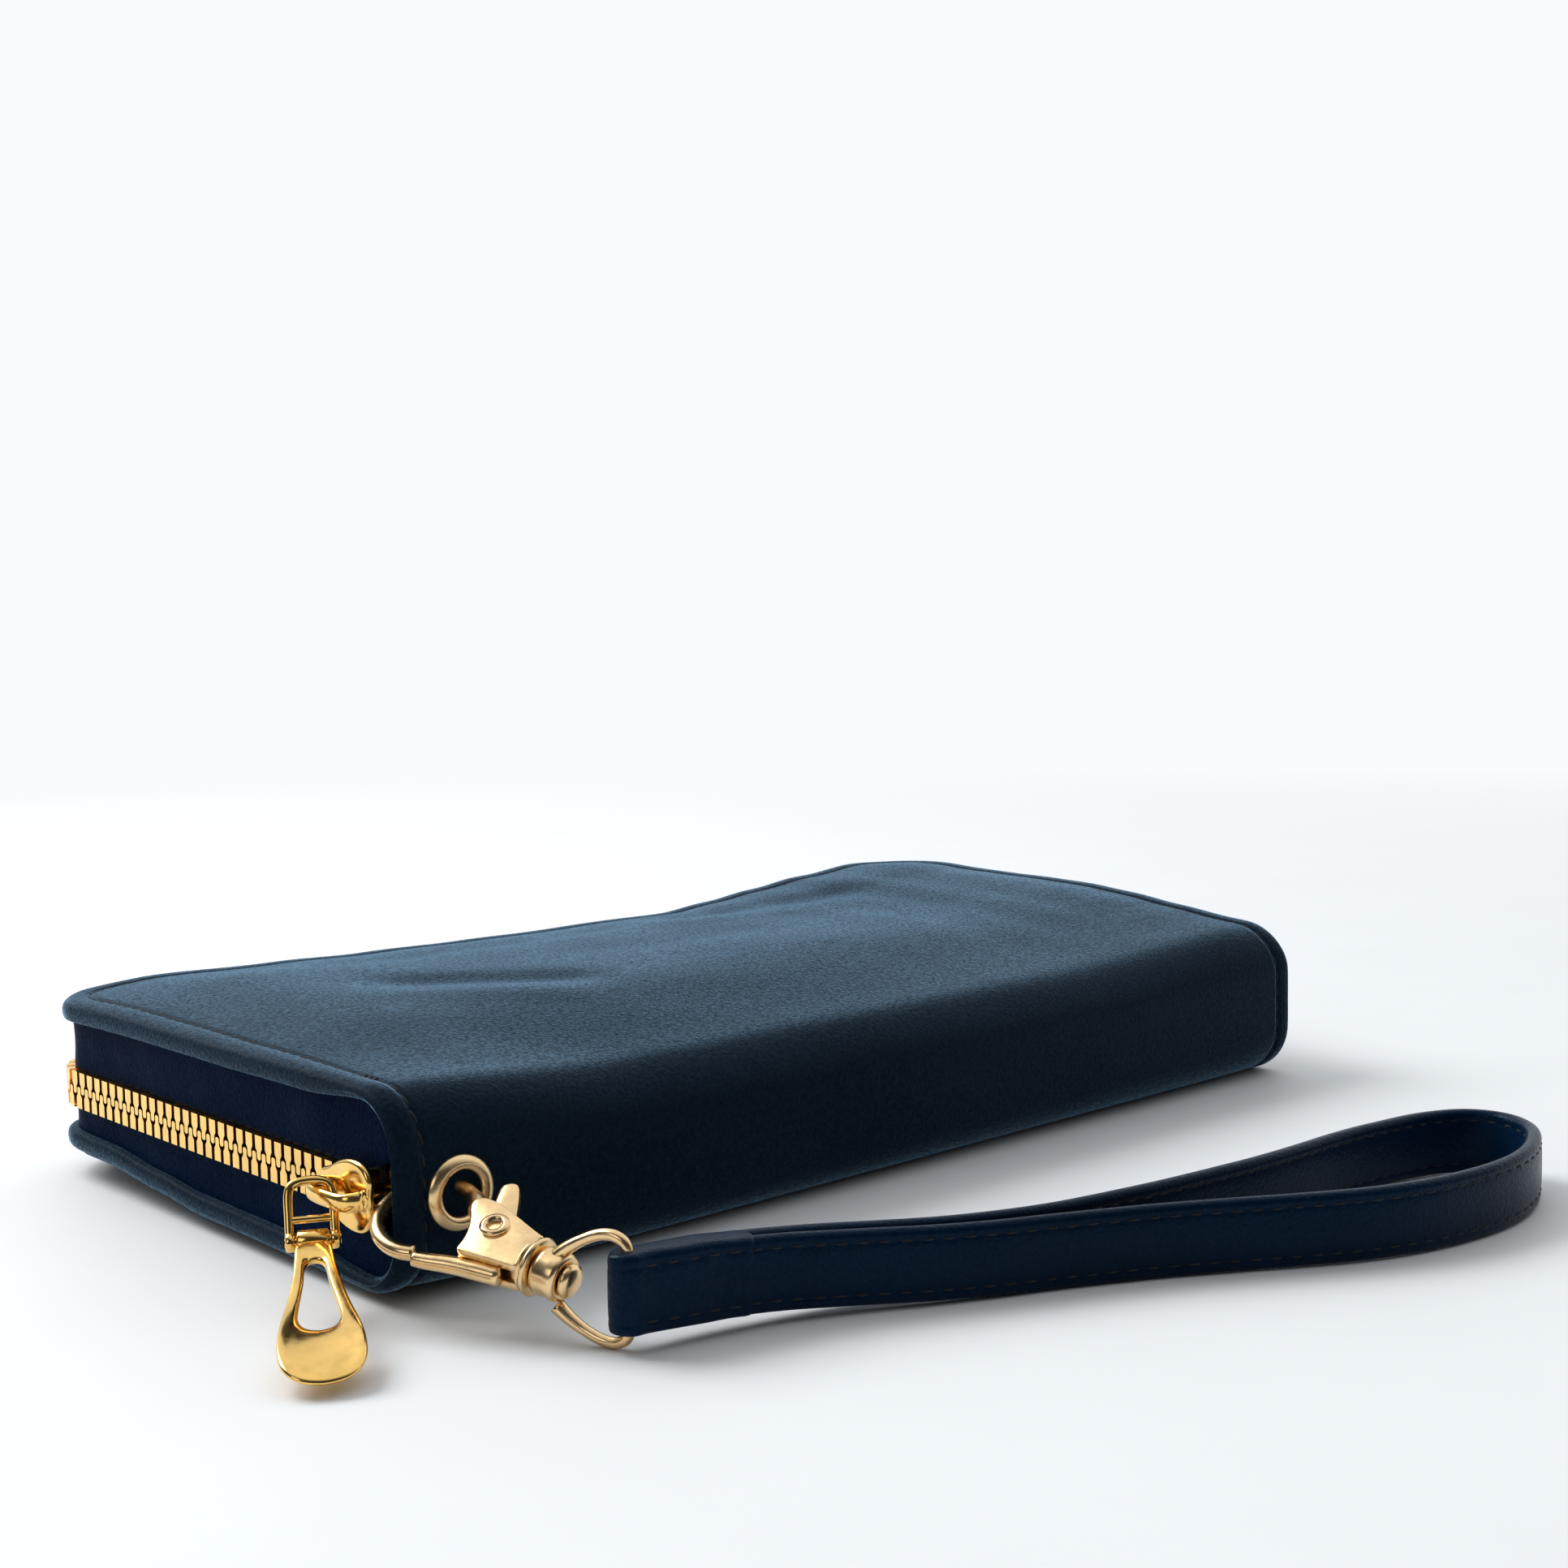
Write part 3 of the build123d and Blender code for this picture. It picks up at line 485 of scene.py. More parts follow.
def smooth_line(points, radii, steps):
    """Catmull-Rom line through points, with the radii carried along."""
    spread = [points[0] * 2 - points[1]] + points + [points[-1] * 2 - points[-2]]
    line, sizes = [], []
    for i in range(len(points) - 1):
        p0, p1, p2, p3 = spread[i:i + 4]
        for k in range(steps):
            t = k / steps
            line.append(0.5 * (2 * p1 + (p2 - p0) * t + (2 * p0 - 5 * p1 + 4 * p2 - p3) * t * t
                               + (3 * p1 - p0 - 3 * p2 + p3) * t ** 3))
            sizes.append(radii[i] + (radii[i + 1] - radii[i]) * t)
    return line + [points[-1]], sizes + [radii[-1]]


def tube(name, points, radii, place, sides=14, flat=1.0, steps=5):
    """Round or oval wire through points, with its own radius at each."""
    line, sizes = smooth_line([Vector(p) for p in points], radii, steps)
    line = [place @ p for p in line]
    up = (place.to_3x3() @ Vector((0, 0, 1))).normalized()
    grid = [[line[0]] * sides]
    for i, p in enumerate(line):
        t = (line[min(i + 1, len(line) - 1)] - line[max(i - 1, 0)]).normalized()
        side = t.cross(up).normalized()
        top = side.cross(t)
        ring = []
        for k in range(sides):
            w = 2 * math.pi * k / sides
            ring.append(p + side * sizes[i] * math.cos(w) + top * sizes[i] * flat * math.sin(w))
        grid.append(ring)
    grid.append([line[-1]] * sides)
    return grid_object(name, grid, False, True)


def stitches(name, spots, length, radius):
    """One mesh of short thread stitches. Each spot is (centre, direction, surface normal)."""
    verts, faces = [], []
    profile = [(-0.5, 0.0), (-0.46, 0.55), (-0.3, 0.95), (0.0, 1.0), (0.3, 0.95), (0.46, 0.55),
               (0.5, 0.0)]
    sides = 6
    for centre, direction, normal in spots:
        x = direction.normalized()
        y = normal.cross(x).normalized()
        z = x.cross(y)
        base = len(verts)
        for t, r in profile:
            sink = radius * 1.2 * (2 * t) ** 2
            for k in range(sides):
                a = 2 * math.pi * k / sides
                around = (y * math.cos(a) + z * math.sin(a)) * r * radius
                verts.append(centre + x * length * t - z * sink + around)
        faces += grid_faces(len(profile), sides, base, False, True)
    return new_object(name, verts, faces)


# ---- leather wrap and its stitches
wrap = leather_wrap()
paint(wrap, SHELL)
add_modifier(wrap, "SUBSURF", levels=1, render_levels=1)


def bend_with_cover(obj):
    """Bake a piece's placement into its mesh points."""
    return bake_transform(obj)


def stitch_spots():
    """Stitch places: along the far edge of each cover, and down each end from cover to cover."""
    section = section_points()
    d = STITCH_INSET
    rows = []
    for end in (-1, 1):
        x = end * (RIGHT - d)
        inner = [p for p in section if p[4] >= d]
        rows.append([wrap_point(x, p, False) for p in inner])
    for low in (True, False):
        z = 0.0 if low else HEIGHT
        point = (FAR - d, z, 0.0, -1.0 if low else 1.0, d)
        count = 130
        x_end = RIGHT - d
        rows.append([wrap_point(-x_end + 2 * x_end * i / count, point, False) for i in range(count + 1)])
    spots = []
    for row in rows:
        spots += spaced_spots(row)
    return spots


def spaced_spots(row):
    """(centre, direction) of stitches at an even pitch along a row of points."""
    spots = []
    total = 0.0
    target = STITCH_PITCH / 2
    for a, b in zip(row, row[1:]):
        step = (b - a).length
        while step > 0 and total + step >= target:
            p = a.lerp(b, (target - total) / step)
            spots.append((p, b - a))
            target += STITCH_PITCH
        total += step
    return spots


def outward(p):
    """Rough outward normal of the wrap at a point."""
    centre_y = SPINE + SPINE_R
    centre_z = min(max(p.z, SPINE_R), HEIGHT - SPINE_R)
    if p.y > centre_y:
        return Vector((0, 0, 1 if p.z > HEIGHT / 2 else -1))
    return Vector((0, p.y - centre_y, p.z - centre_z)).normalized()


spots = []
for centre, direction in stitch_spots():
    n = outward(centre)
    side = n.cross(direction).normalized()
    spots.append((centre + n * 0.10, direction + side * 0.16 * direction.length, n))
# A few doubled stitches where the row ends near the spine
tack_place = Vector((LEFT + STITCH_INSET, SPINE + 13, HEIGHT))
tack = min(spots, key=lambda spot: (spot[0] - tack_place).length)
for shift in (-1.3, 0.0, 1.3):
    spots.append((tack[0] + Vector((0.15, shift, 0.14)), Vector((0.8, 0.5, 0)), tack[2]))
cover_stitches = stitches("cover_stitches", spots, 2.2, 0.2)
paint(cover_stitches, THREAD)
bend_with_cover(wrap)
bend_with_cover(cover_stitches)
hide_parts("back_cover", "front_cover")


# ---- boards, linings and pockets
def cut_along(bm, step):
    """Slice a mesh into strips across X and Y so that it can bend."""
    for axis in (0, 1):
        low = min(v.co[axis] for v in bm.verts)
        high = max(v.co[axis] for v in bm.verts)
        count = int((high - low) / (step * MM))
        direction = Vector((1 - axis, axis, 0))
        for i in range(1, count + 1):
            place = direction * (low + (high - low) * i / (count + 1))
            geometry = bm.verts[:] + bm.edges[:] + bm.faces[:]
            bmesh.ops.bisect_plane(bm, geom=geometry, dist=1e-7, plane_co=place, plane_no=direction)


def soft_copy(name, mat, rider, step, waver, follow=True):
    """Sewn-in sheet: the flat piece cut fine, bent with its cover and left slightly uneven."""
    bm = bmesh.new()
    bm.from_mesh(nodes[name].data)
    bm.transform(nodes[name].matrix_world)
    bmesh.ops.remove_doubles(bm, verts=bm.verts, dist=1e-7)
    bmesh.ops.dissolve_limit(bm, angle_limit=0.02, verts=bm.verts, edges=bm.edges)
    cut_along(bm, step)
    for v in bm.verts:
        x, y, z = v.co / MM
        lift = 0.0
        if follow:
            side = cover_share(z) if y < SPINE + 6 else 1.0
            lift = cover_warp(x, y, z) * side
            lift += SHEET_LIFT if z < HEIGHT / 2 else -SHEET_LIFT
        v.co.z += (lift + waver * ruffle(x, y, 2.0, 14.0, 7.0) * smooth((FAR - 12 - y) / 15)) * MM
    mesh = bpy.data.meshes.new(name + "_soft")
    bm.to_mesh(mesh)
    bm.free()
    obj = bpy.data.objects.new(name + "_soft", mesh)
    bpy.context.scene.collection.objects.link(obj)
    mesh.shade_flat()
    paint(obj, mat)
    add_modifier(obj, "BEVEL", width=0.00018, segments=2, limit_method="ANGLE", angle_limit=0.7)
    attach(obj, rider)
    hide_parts(name)
    return obj


def sheet_stitches(name, rows, rider):
    """Thread rows sewn through sheets: (start, end, face direction, whether it follows the cover)."""
    sewn = []
    for start, end, face, follow in rows:
        steps = 40
        row = []
        for i in range(steps + 1):
            p = Vector(start).lerp(Vector(end), i / steps)
            if follow:
                p.z += cover_warp(p.x, p.y, p.z) + SHEET_LIFT * face
            row.append(p)
        proud, up = Vector((0, 0, 0.1 * face)), Vector((0, 0, face))
        sewn += [(centre + proud, way, up) for centre, way in spaced_spots(row)]
    obj = stitches(name, sewn, 2.0, 0.2)
    paint(obj, THREAD)
    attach(obj, rider)


CARD_HALF, CARD_START, CARD_TOP = 90.0, SPINE + 15.0, FAR - 14.0
CARD_SLOTS, CARD_TERRACE, CARD_FACE, CARD_STEP = 4, 9.0, 0.52, 0.56
CARD_HEM, CARD_MARGIN = 1.6, 1.5
COIN_HALF_WIDE, COIN_START, COIN_MOUTH, COIN_FACE = 89.0, SPINE + 9.0, FAR - 12.0, 3.3
for half, face in (("back", 1), ("front", -1)):
    body = half + "_half"
    soft_copy(half + "_board", BOARD, body, 8.0, 0.0)
    soft_copy(half + "_lining", LINING, body, 6.0, 0.0)
    rows = []
    for i in range(CARD_SLOTS):
        soft_copy(f"{half}_card_slot_{i + 1}", POCKET, body, 6.0, 0.0)
        mouth = CARD_TOP - i * CARD_TERRACE - CARD_HEM
        level = COVER + CARD_FACE + i * CARD_STEP
        z = level if half == "back" else HEIGHT - level
        rows.append(((-CARD_HALF + 2, mouth, z), (CARD_HALF - 2, mouth, z), face, True))
    for x in (0.0, -CARD_HALF + CARD_HEM, CARD_HALF - CARD_HEM):
        rows.append(((x, CARD_START + CARD_MARGIN, z), (x, mouth - 1.0, z), face, True))
    sheet_stitches(half + "_card_stitches", rows, body)
    panel = f"coin_pocket_{half}_panel"
    soft_copy(panel, POCKET, "coin_pocket", 6.0, 0.22, False)
    z = HEIGHT / 2 - face * COIN_FACE
    y = COIN_MOUTH - 4.2
    rows = [((-COIN_HALF_WIDE + 2, y, z), (COIN_HALF_WIDE - 2, y, z), -face, False)]
    for x in (-COIN_HALF_WIDE + 1.8, COIN_HALF_WIDE - 1.8):
        rows.append(((x, COIN_START + 2, z), (x, COIN_MOUTH - 5.0, z), -face, False))
    sheet_stitches(half + "_coin_stitches", rows, "coin_pocket")

# ---- gussets
SIDE_STEPS, CORNER_STEPS, FAR_STEPS = 36, 8, 60
GUSSET_START, GUSSET_WAY = SPINE + 1.3, 6.0
GUSSET_INSET, GUSSET_THICK, GUSSET_HEM = 1.52, 0.75, 3.0


def u_route(inset, start):
    """Plan points of the three zip sides at an inset, with round far corners."""
    x, y, r = RIGHT - inset, FAR - inset, CORNER_R - inset
    points = []
    side = y - r - start
    for i in range(SIDE_STEPS + 1):
        points.append((-x, start + side * i / SIDE_STEPS))
    for i in range(1, CORNER_STEPS + 1):
        a = math.pi / 2 * i / CORNER_STEPS
        points.append((-x + r - r * math.cos(a), y - r + r * math.sin(a)))
    turned = len(points)
    for i in range(1, FAR_STEPS + 1):
        points.append((-x + r + (2 * (x - r)) * i / FAR_STEPS, y))
    mirrored = [(-px, py) for px, py in reversed(points[:turned])]
    return points + mirrored


def gusset(name, upper):
    """Thin leather strip from the inside of a cover to its hem beside the zip teeth, slightly slack."""
    outer, inner = u_route(0.0, GUSSET_START), u_route(GUSSET_WAY, GUSSET_START)
    levels = [0.0, 0.1, 0.25, 0.4, 0.55, 0.7, 0.82, 0.92, 1.0]
    grid = []
    for (ox, oy), (ix, iy) in zip(outer, inner):
        o, i = Vector((ox, oy, 0)), Vector((ix, iy, 0))
        inward = (i - o) / GUSSET_WAY
        near = 1 - smooth((oy - SPINE - 3.5) / 4.5)
        rim = SPINE_R - math.sqrt(max((SPINE_R - 1.1) ** 2 - max(SPINE + SPINE_R - oy, 0) ** 2, 0))
        rim += 0.9 * smooth((oy - SPINE - SPINE_R) / 6)
        cover_z = HEIGHT - rim + top_warp(ox, oy) if upper else rim + bottom_warp(ox, oy)
        hem_z = ZIP_Z + GUSSET_HEM + 2.6 * near if upper else ZIP_Z - GUSSET_HEM - 2.4 * near
        ring = []
        for v in levels:
            slack = 0.32 * math.sin(math.pi * v) * (0.3 + 1.3 * ruffle(ox, oy, 20 * v, 17.0, 4.0))
            crease = 0.26 * ruffle(ox * 1.5, oy * 1.5, 9 * v, 6.5, 9.0) * math.sin(math.pi * v)
            z = cover_z + (hem_z - cover_z) * v
            p = o + inward * (GUSSET_INSET + slack + crease)
            ring.append(Vector((p.x, p.y, z)))
        back = [p + inward * GUSSET_THICK for p in reversed(ring)]
        sign = -1 if upper else 1
        hem = ring[-1].lerp(back[0], 0.5) + Vector((0, 0, sign * 0.35))
        grid.append(ring + [hem] + back)
    obj = grid_object(name, grid, False, True)
    paint(obj, GUSSET)
    add_modifier(obj, "SUBSURF", levels=1, render_levels=1)
    return obj


front_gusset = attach(gusset("front_gusset_leather", True), "front_half")
back_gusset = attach(gusset("back_gusset_leather", False), "back_half")
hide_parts("front_gusset")
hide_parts("back_gusset")

# ---- eyelet
EYELET = (LEFT + 9.6, SPINE, 14.6)
EYELET_FRAME = frame_matrix(EYELET, (0, -1, 0), (1, 0, 0))
eyelet_profile = [(-2.35, 3.0), (-0.4, 2.97), (0.25, 2.98), (0.85, 3.15), (1.2, 3.65), (1.15, 4.25),
                  (0.72, 4.9), (0.15, 5.2), (-0.25, 5.1), (-0.3, 4.4), (-0.4, 3.25), (-2.35, 3.25)]
eyelet = lathe("eyelet_ring", eyelet_profile, EYELET_FRAME, 56)
paint(eyelet, SATIN)
add_modifier(eyelet, "SUBSURF", levels=1, render_levels=1)
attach(eyelet, "back_half")
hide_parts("eyelet")

# ---- snap hook
SWIVEL = Vector((LEFT + 9.34, SPINE - 20.7, 8.4))
SHANK, ACROSS = Vector((0.2638, -0.9418, -0.2070)), Vector((0.8986, 0.1621, 0.4072))
HOOK = frame_matrix(SWIVEL, SHANK, ACROSS)
LOOP_X, LOOP_R, LOOP_FROM, LOOP_TO, LOOP_STEPS = -20.8, 6.5, 46, 296, 24
hook_pieces = []
body_line = [(-16.0, 3.2), (-15.3, 4.8), (-13.2, 5.1), (-10.4, 4.6), (-4.2, 3.0), (-3.2, 3.0),
             (-3.2, -3.0), (-4.2, -3.1), (-9.0, -3.8), (-11.6, -4.3), (-12.2, -3.9), (-12.3, -2.2),
             (-13.6, 0.6)]
for low, high in ((1.05, 2.25), (-2.25, -1.05)):
    hook_pieces.append(plate("hook_cheek", body_line, low, high, HOOK, 0.45, 2))
wire = [(-13.6, 4.6), (-15.6, 4.2)]
for k in range(LOOP_STEPS + 1):
    a = math.radians(LOOP_FROM + (LOOP_TO - LOOP_FROM) * k / LOOP_STEPS)
    wire.append((LOOP_X + LOOP_R * math.cos(a), LOOP_R * math.sin(a)))
wire_radii = [1.5, 1.45, 1.35, 1.2] + [1.0] * (len(wire) - 4)
hook_pieces.append(tube("hook_wire", [(x, y, 0) for x, y in wire], wire_radii, HOOK, steps=3))
neck_line = [(-7.0, 2.6), (-3.1, 2.9), (-3.1, -2.9), (-6.0, -2.6)]
hook_pieces.append(plate("hook_neck", neck_line, -1.4, 1.4, HOOK, 0.3, 1))
collar = [(-3.9, 0.0), (-3.9, 2.4), (-3.75, 3.2), (-3.45, 3.45), (-3.2, 3.3), (-3.05, 3.05), (-2.9, 3.35),
          (-2.7, 3.75), (-2.35, 3.8), (-2.12, 3.5), (-2.08, 1.9), (-2.0, 1.3), (2.1, 1.3), (2.15, 1.9),
          (2.4, 2.2), (2.9, 2.15), (3.3, 1.6), (3.5, 0.8), (3.55, 0.0)]
hook_pieces.append(lathe("hook_collar", collar, HOOK))
for piece in hook_pieces:
    paint(piece, SATIN)
    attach(piece, "hook")
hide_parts("hook_frame")

RIVET = HOOK @ Matrix.Translation((-10.2, 1.3, 0)) @ Matrix.Rotation(math.radians(-90), 4, "Y")
rivet_profile = [(-2.75, 1.05), (-2.8, 1.5), (-2.55, 1.95), (-2.2, 1.9), (-2.1, 1.2), (2.1, 1.2),
                 (2.2, 1.9), (2.55, 1.95), (2.8, 1.5), (2.75, 1.05), (1.0, 0.95), (-1.0, 0.95)]
rivet = lathe("hook_rivet_tube", rivet_profile, RIVET, 36)
paint(rivet, SATIN)
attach(rivet, "hook")
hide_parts("hook_rivet")

arm_line = [(-17.35, -6.55, 0), (-15.6, -6.1, 0), (-12.5, -5.1, 0), (-9.0, -4.3, 0), (-5.6, -3.7, 0)]
arm = tube("gate_arm", arm_line, [1.0, 1.06, 1.15, 1.25, 1.2], HOOK, sides=16)
lever_line = [(-12.6, -5.2), (-8.2, -4.6), (-7.9, 1.2), (-8.8, 3.2), (-13.0, 9.6), (-14.2, 10.0),
              (-15.3, 9.2), (-15.4, 8.2), (-12.6, 2.0)]
lever = plate("gate_lever", lever_line, -0.95, 0.95, HOOK, 0.4)
for piece in (arm, lever):
    paint(piece, SATIN)
    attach(piece, "gate")
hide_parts("hook_gate")

RING = frame_matrix(SWIVEL - Vector((0, 0, 0.9)), (0.385, -0.923, 0), (0, 0, 1))
side_line = [(10.7, 0), (10.7, 3.0), (10.65, 4.9), (10.1, 6.1), (8.6, 6.75), (6.6, 6.6), (4.3, 5.7),
             (2.2, 4.5), (0.4, 3.1)]
ring_line = [(x, -y, 0) for x, y in reversed(side_line[1:])] + [(x, y, 0) for x, y in side_line]
ring_radii = [1.05, 0.88] + [0.74] * (len(ring_line) - 4) + [0.88, 1.05]
ring = tube("ring_wire", ring_line, ring_radii, RING)
eye_profile = [(-1.85, 1.4), (-1.85, 2.7), (-1.55, 3.05), (-0.9, 3.15), (0.2, 3.0), (1.3, 3.15),
               (1.75, 2.95), (1.95, 2.6), (1.95, 1.4)]
eye = lathe("ring_eye", eye_profile, HOOK)
for piece in (ring, eye):
    paint(piece, SATIN)
    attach(piece, "ring")
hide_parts("swivel_ring")

# ---- zip slider and pull
SLIDER = frame_matrix((LEFT, SPINE + 11.8, ZIP_Z), (0, 1, 0), (0, 0, 1))
shield = [(5.6, 2.4), (3.2, 2.9), (0.6, 4.3), (-2.6, 5.0), (-5.6, 4.6), (-7.2, 2.6), (-6.6, 0.0),
          (-7.2, -2.6), (-5.6, -4.6), (-2.6, -5.0), (0.6, -4.3), (3.2, -2.9), (5.6, -2.4)]
inner_shield = [(min(max(x, -5.2), 5.4), y * 0.9) for x, y in shield]
wedge_line = [(-5.0, -1.0), (-2.4, -1.35), (-1.0, 0), (-2.4, 1.35), (-5.0, 1.0)]
crown_line = [(-6.0, 0, -0.8), (-5.9, 0, -2.6), (-4.6, 0, -3.85), (-1.5, 0, -4.15), (2.0, 0, -4.1),
              (4.2, 0, -3.3), (4.7, 0, -0.8)]
crown_radii = [1.5, 1.35, 1.2, 1.15, 1.15, 1.2, 1.5]
slider_pieces = [
    plate("slider_outer", shield, -1.3, -0.02, SLIDER, 0.6, 2, 4),
    plate("slider_inner", inner_shield, 3.42, 4.45, SLIDER, 0.35),
    plate("slider_wedge", wedge_line, -0.4, 3.7, SLIDER, 0.15, 1),
    tube("slider_crown", crown_line, crown_radii, SLIDER, flat=0.5),
]
for piece in slider_pieces:
    paint(piece, GOLD)
    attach(piece, "zip_runner")
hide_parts("zip_slider")

LINK_TOP = Vector((LEFT - 4.52, SPINE + 13.9, 16.4))
PULL_PIN = Vector((LEFT - 6.2, SPINE + 10.7, 9.3))
PULL_TIP = Vector((LEFT - 21.5, SPINE - 18.0, 0.95))
PULL_SIDE = Vector((0.886, -0.463, 0))
LINK_HALF, RUNG_SHARE = 2.9, 0.64
LINK = frame_matrix(LINK_TOP, PULL_PIN - LINK_TOP, PULL_SIDE)
reach = (PULL_PIN - LINK_TOP).length
hoop = [(reach, -LINK_HALF, 0), (0.6 * reach, -LINK_HALF, 0), (1.6, -2.85, 0), (0.35, -2.1, 0), (0, 0, 0),
        (0.35, 2.1, 0), (1.6, 2.85, 0), (0.6 * reach, LINK_HALF, 0), (reach, LINK_HALF, 0)]
rung = [(RUNG_SHARE * reach, y, 0) for y in (-LINK_HALF, 0, LINK_HALF)]
link_pieces = [
    tube("pull_hoop", hoop, [0.6] * len(hoop), LINK),
    tube("pull_rung", rung, [0.5] * 3, LINK),
]
side_turn = LINK @ Matrix.Translation((reach, 0, 0)) @ Matrix.Rotation(math.radians(90), 4, "Z")
pull_eye = [(-0.62, 0.62), (-0.62, 1.0), (-0.4, 1.25), (0.4, 1.25), (0.62, 1.0), (0.62, 0.62)]
for end in (-1, 1):
    link_pieces.append(lathe("pull_eye", [(end * LINK_HALF + t, r) for t, r in pull_eye], side_turn, 28))
for piece in link_pieces:
    paint(piece, GOLD)
    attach(piece, "pull_wire")
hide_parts("pull_link")


def resample(points, count):
    """Points at even distances along a line."""
    lengths = [0.0]
    for a, b in zip(points, points[1:]):
        lengths.append(lengths[-1] + (b - a).length)
    out = []
    k = 0
    for i in range(count):
        target = lengths[-1] * i / (count - 1)
        while k < len(points) - 2 and lengths[k + 1] < target:
            k += 1
        t = (target - lengths[k]) / max(lengths[k + 1] - lengths[k], 1e-9)
        out.append(points[k].lerp(points[k + 1], t))
    return out


def half_loop(points, count):
    """Even points along one half of a symmetric outline, then its mirror image, as one closed loop."""
    line, _ = smooth_line([Vector((x, y, 0)) for x, y in points], [1.0] * len(points), 6)
    line = resample(line, count)
    back = [Vector((p.x, -p.y, 0)) for p in reversed(line[1:-1])]
    return line + back


def spoon_point(x, y, z):
    """The pull is slightly cupped and its wide end lifts a little."""
    cup = 0.028 * y * y * smooth((x - 12) / 12)
    lift = 0.5 * smooth((x - 20) / 14) - 0.5 * math.sin(math.pi * min(x / 24.0, 1.0))
    return Vector((x, y, z + cup + lift + 0.25))


PULL = frame_matrix(PULL_PIN, PULL_TIP - PULL_PIN, PULL_SIDE)
outer_half = [(0.6, 0), (0.6, 1.6), (1.4, 2.35), (4.0, 2.5), (9.0, 2.95), (15.0, 3.9), (21.0, 4.9),
              (26.5, 5.35), (30.5, 4.9), (32.8, 3.0), (33.4, 0)]
window_half = [(5.0, 0), (5.3, 0.8), (6.6, 1.3), (10.0, 1.6), (15.0, 2.25), (18.6, 2.5), (20.6, 1.7),
               (21.2, 0)]
outer_loop, inner_loop = half_loop(outer_half, 30), half_loop(window_half, 30)
levels = [(0.0, 0.0), (0.03, 0.45), (0.12, 0.62), (0.35, 0.65), (0.65, 0.65), (0.88, 0.62),
          (0.97, 0.45), (1.0, 0.0)]
blade = []
for a, b in zip(inner_loop, outer_loop):
    top = [spoon_point(*(a.lerp(b, t).xy), z) for t, z in levels]
    low = [spoon_point(*(a.lerp(b, t).xy), -z) for t, z in reversed(levels[1:-1])]
    blade.append([PULL @ p for p in top + low])
spoon = grid_object("pull_spoon_blade", blade, True, True)
add_modifier(spoon, "SUBSURF", levels=1, render_levels=1)
knuckle_place = PULL @ Matrix.Rotation(math.radians(90), 4, "Z")
knuckle_profile = [(-2.1, 0.7), (-2.1, 1.2), (-1.85, 1.5), (1.85, 1.5), (2.1, 1.2), (2.1, 0.7)]
knuckle = lathe("pull_knuckle", knuckle_profile, knuckle_place, 30)
for piece in (spoon, knuckle):
    paint(piece, GOLD)
    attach(piece, "pull_spoon")
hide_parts("pull_tab")

# ---- wrist strap
STRAP_ROUTE = [
    (-80.82, -86.97, 7.45), (-73.2, -88.3, 7.2), (-65.0, -90.1, 6.7), (-55.5, -94.2, 6.0),
    (-41.2, -101.7, 5.3), (-28.0, -107.3, 5.1), (-14.0, -114.6, 5.1), (0.5, -124.0, 5.1),
    (9.6, -129.2, 5.1), (20.0, -132.7, 5.1), (30.2, -134.1, 5.1), (40.5, -133.6, 5.1),
    (49.5, -130.6, 5.1), (56.0, -126.4, 5.1), (59.3, -120.2, 5.1), (57.2, -114.2, 5.1),
    (50.5, -111.0, 5.1), (42.0, -109.6, 5.1), (32.0, -108.6, 5.1), (16.0, -108.9, 5.1),
    (-2.0, -107.2, 5.1), (-16.0, -105.0, 5.1), (-28.0, -102.6, 5.1), (-41.2, -97.7, 5.3),
    (-55.0, -90.6, 6.0), (-64.6, -87.3, 6.7), (-72.8, -85.7, 7.2), (-80.36, -84.41, 7.45),
]


def strap_line():
    """The strap's middle line, read from a smooth curve on the route's points."""
    curve = bpy.data.curves.new("strap_route", "CURVE")
    curve.dimensions = "3D"
    curve.resolution_u = 8
    spline = curve.splines.new("NURBS")
    spline.points.add(len(STRAP_ROUTE) - 1)
    for point, (x, y, z) in zip(spline.points, STRAP_ROUTE):
        point.co = (x, y, z, 1)
    spline.order_u = 3
    spline.use_endpoint_u = True
    obj = bpy.data.objects.new("strap_route", curve)
    bpy.context.scene.collection.objects.link(obj)
    bpy.context.view_layer.update()
    mesh = bpy.data.meshes.new_from_object(obj)
    points = [v.co.copy() for v in mesh.vertices]
    bpy.data.objects.remove(obj)
    bpy.data.meshes.remove(mesh)
    bpy.data.curves.remove(curve)
    return points


def band_frames(line):
    """(point, face normal, width direction, forward) along a band on edge."""
    frames = []
    for i, p in enumerate(line):
        t = (line[min(i + 1, len(line) - 1)] - line[max(i - 1, 0)]).normalized()
        n = t.cross(Vector((0, 0, 1))).normalized()
        frames.append((p, n, n.cross(t).normalized(), t))
    return frames


# Half of the band's section: (out from the middle, up from the middle)
BAND_HALF, BAND_HALF_WIDE = 1.18, 5.0
BAND_SECTION = [(0.0, -5.0), (0.55, -4.93), (0.95, -4.6), (1.1, -4.1), (1.1, -3.75), (0.92, -3.4),
                (1.1, -3.05), (1.16, -2.2), (BAND_HALF, -1.0), (BAND_HALF, 1.0), (1.16, 2.2), (1.1, 3.05),
                (0.92, 3.4), (1.1, 3.75), (1.1, 4.1), (0.95, 4.6), (0.55, 4.93), (0.0, 5.0)]
BAND_WAVER = 0.12


def band_waver(p):
    """Sideways unevenness of the band at a point."""
    return BAND_WAVER * ruffle(p.x, p.y, p.z, 9.0, 3.0)


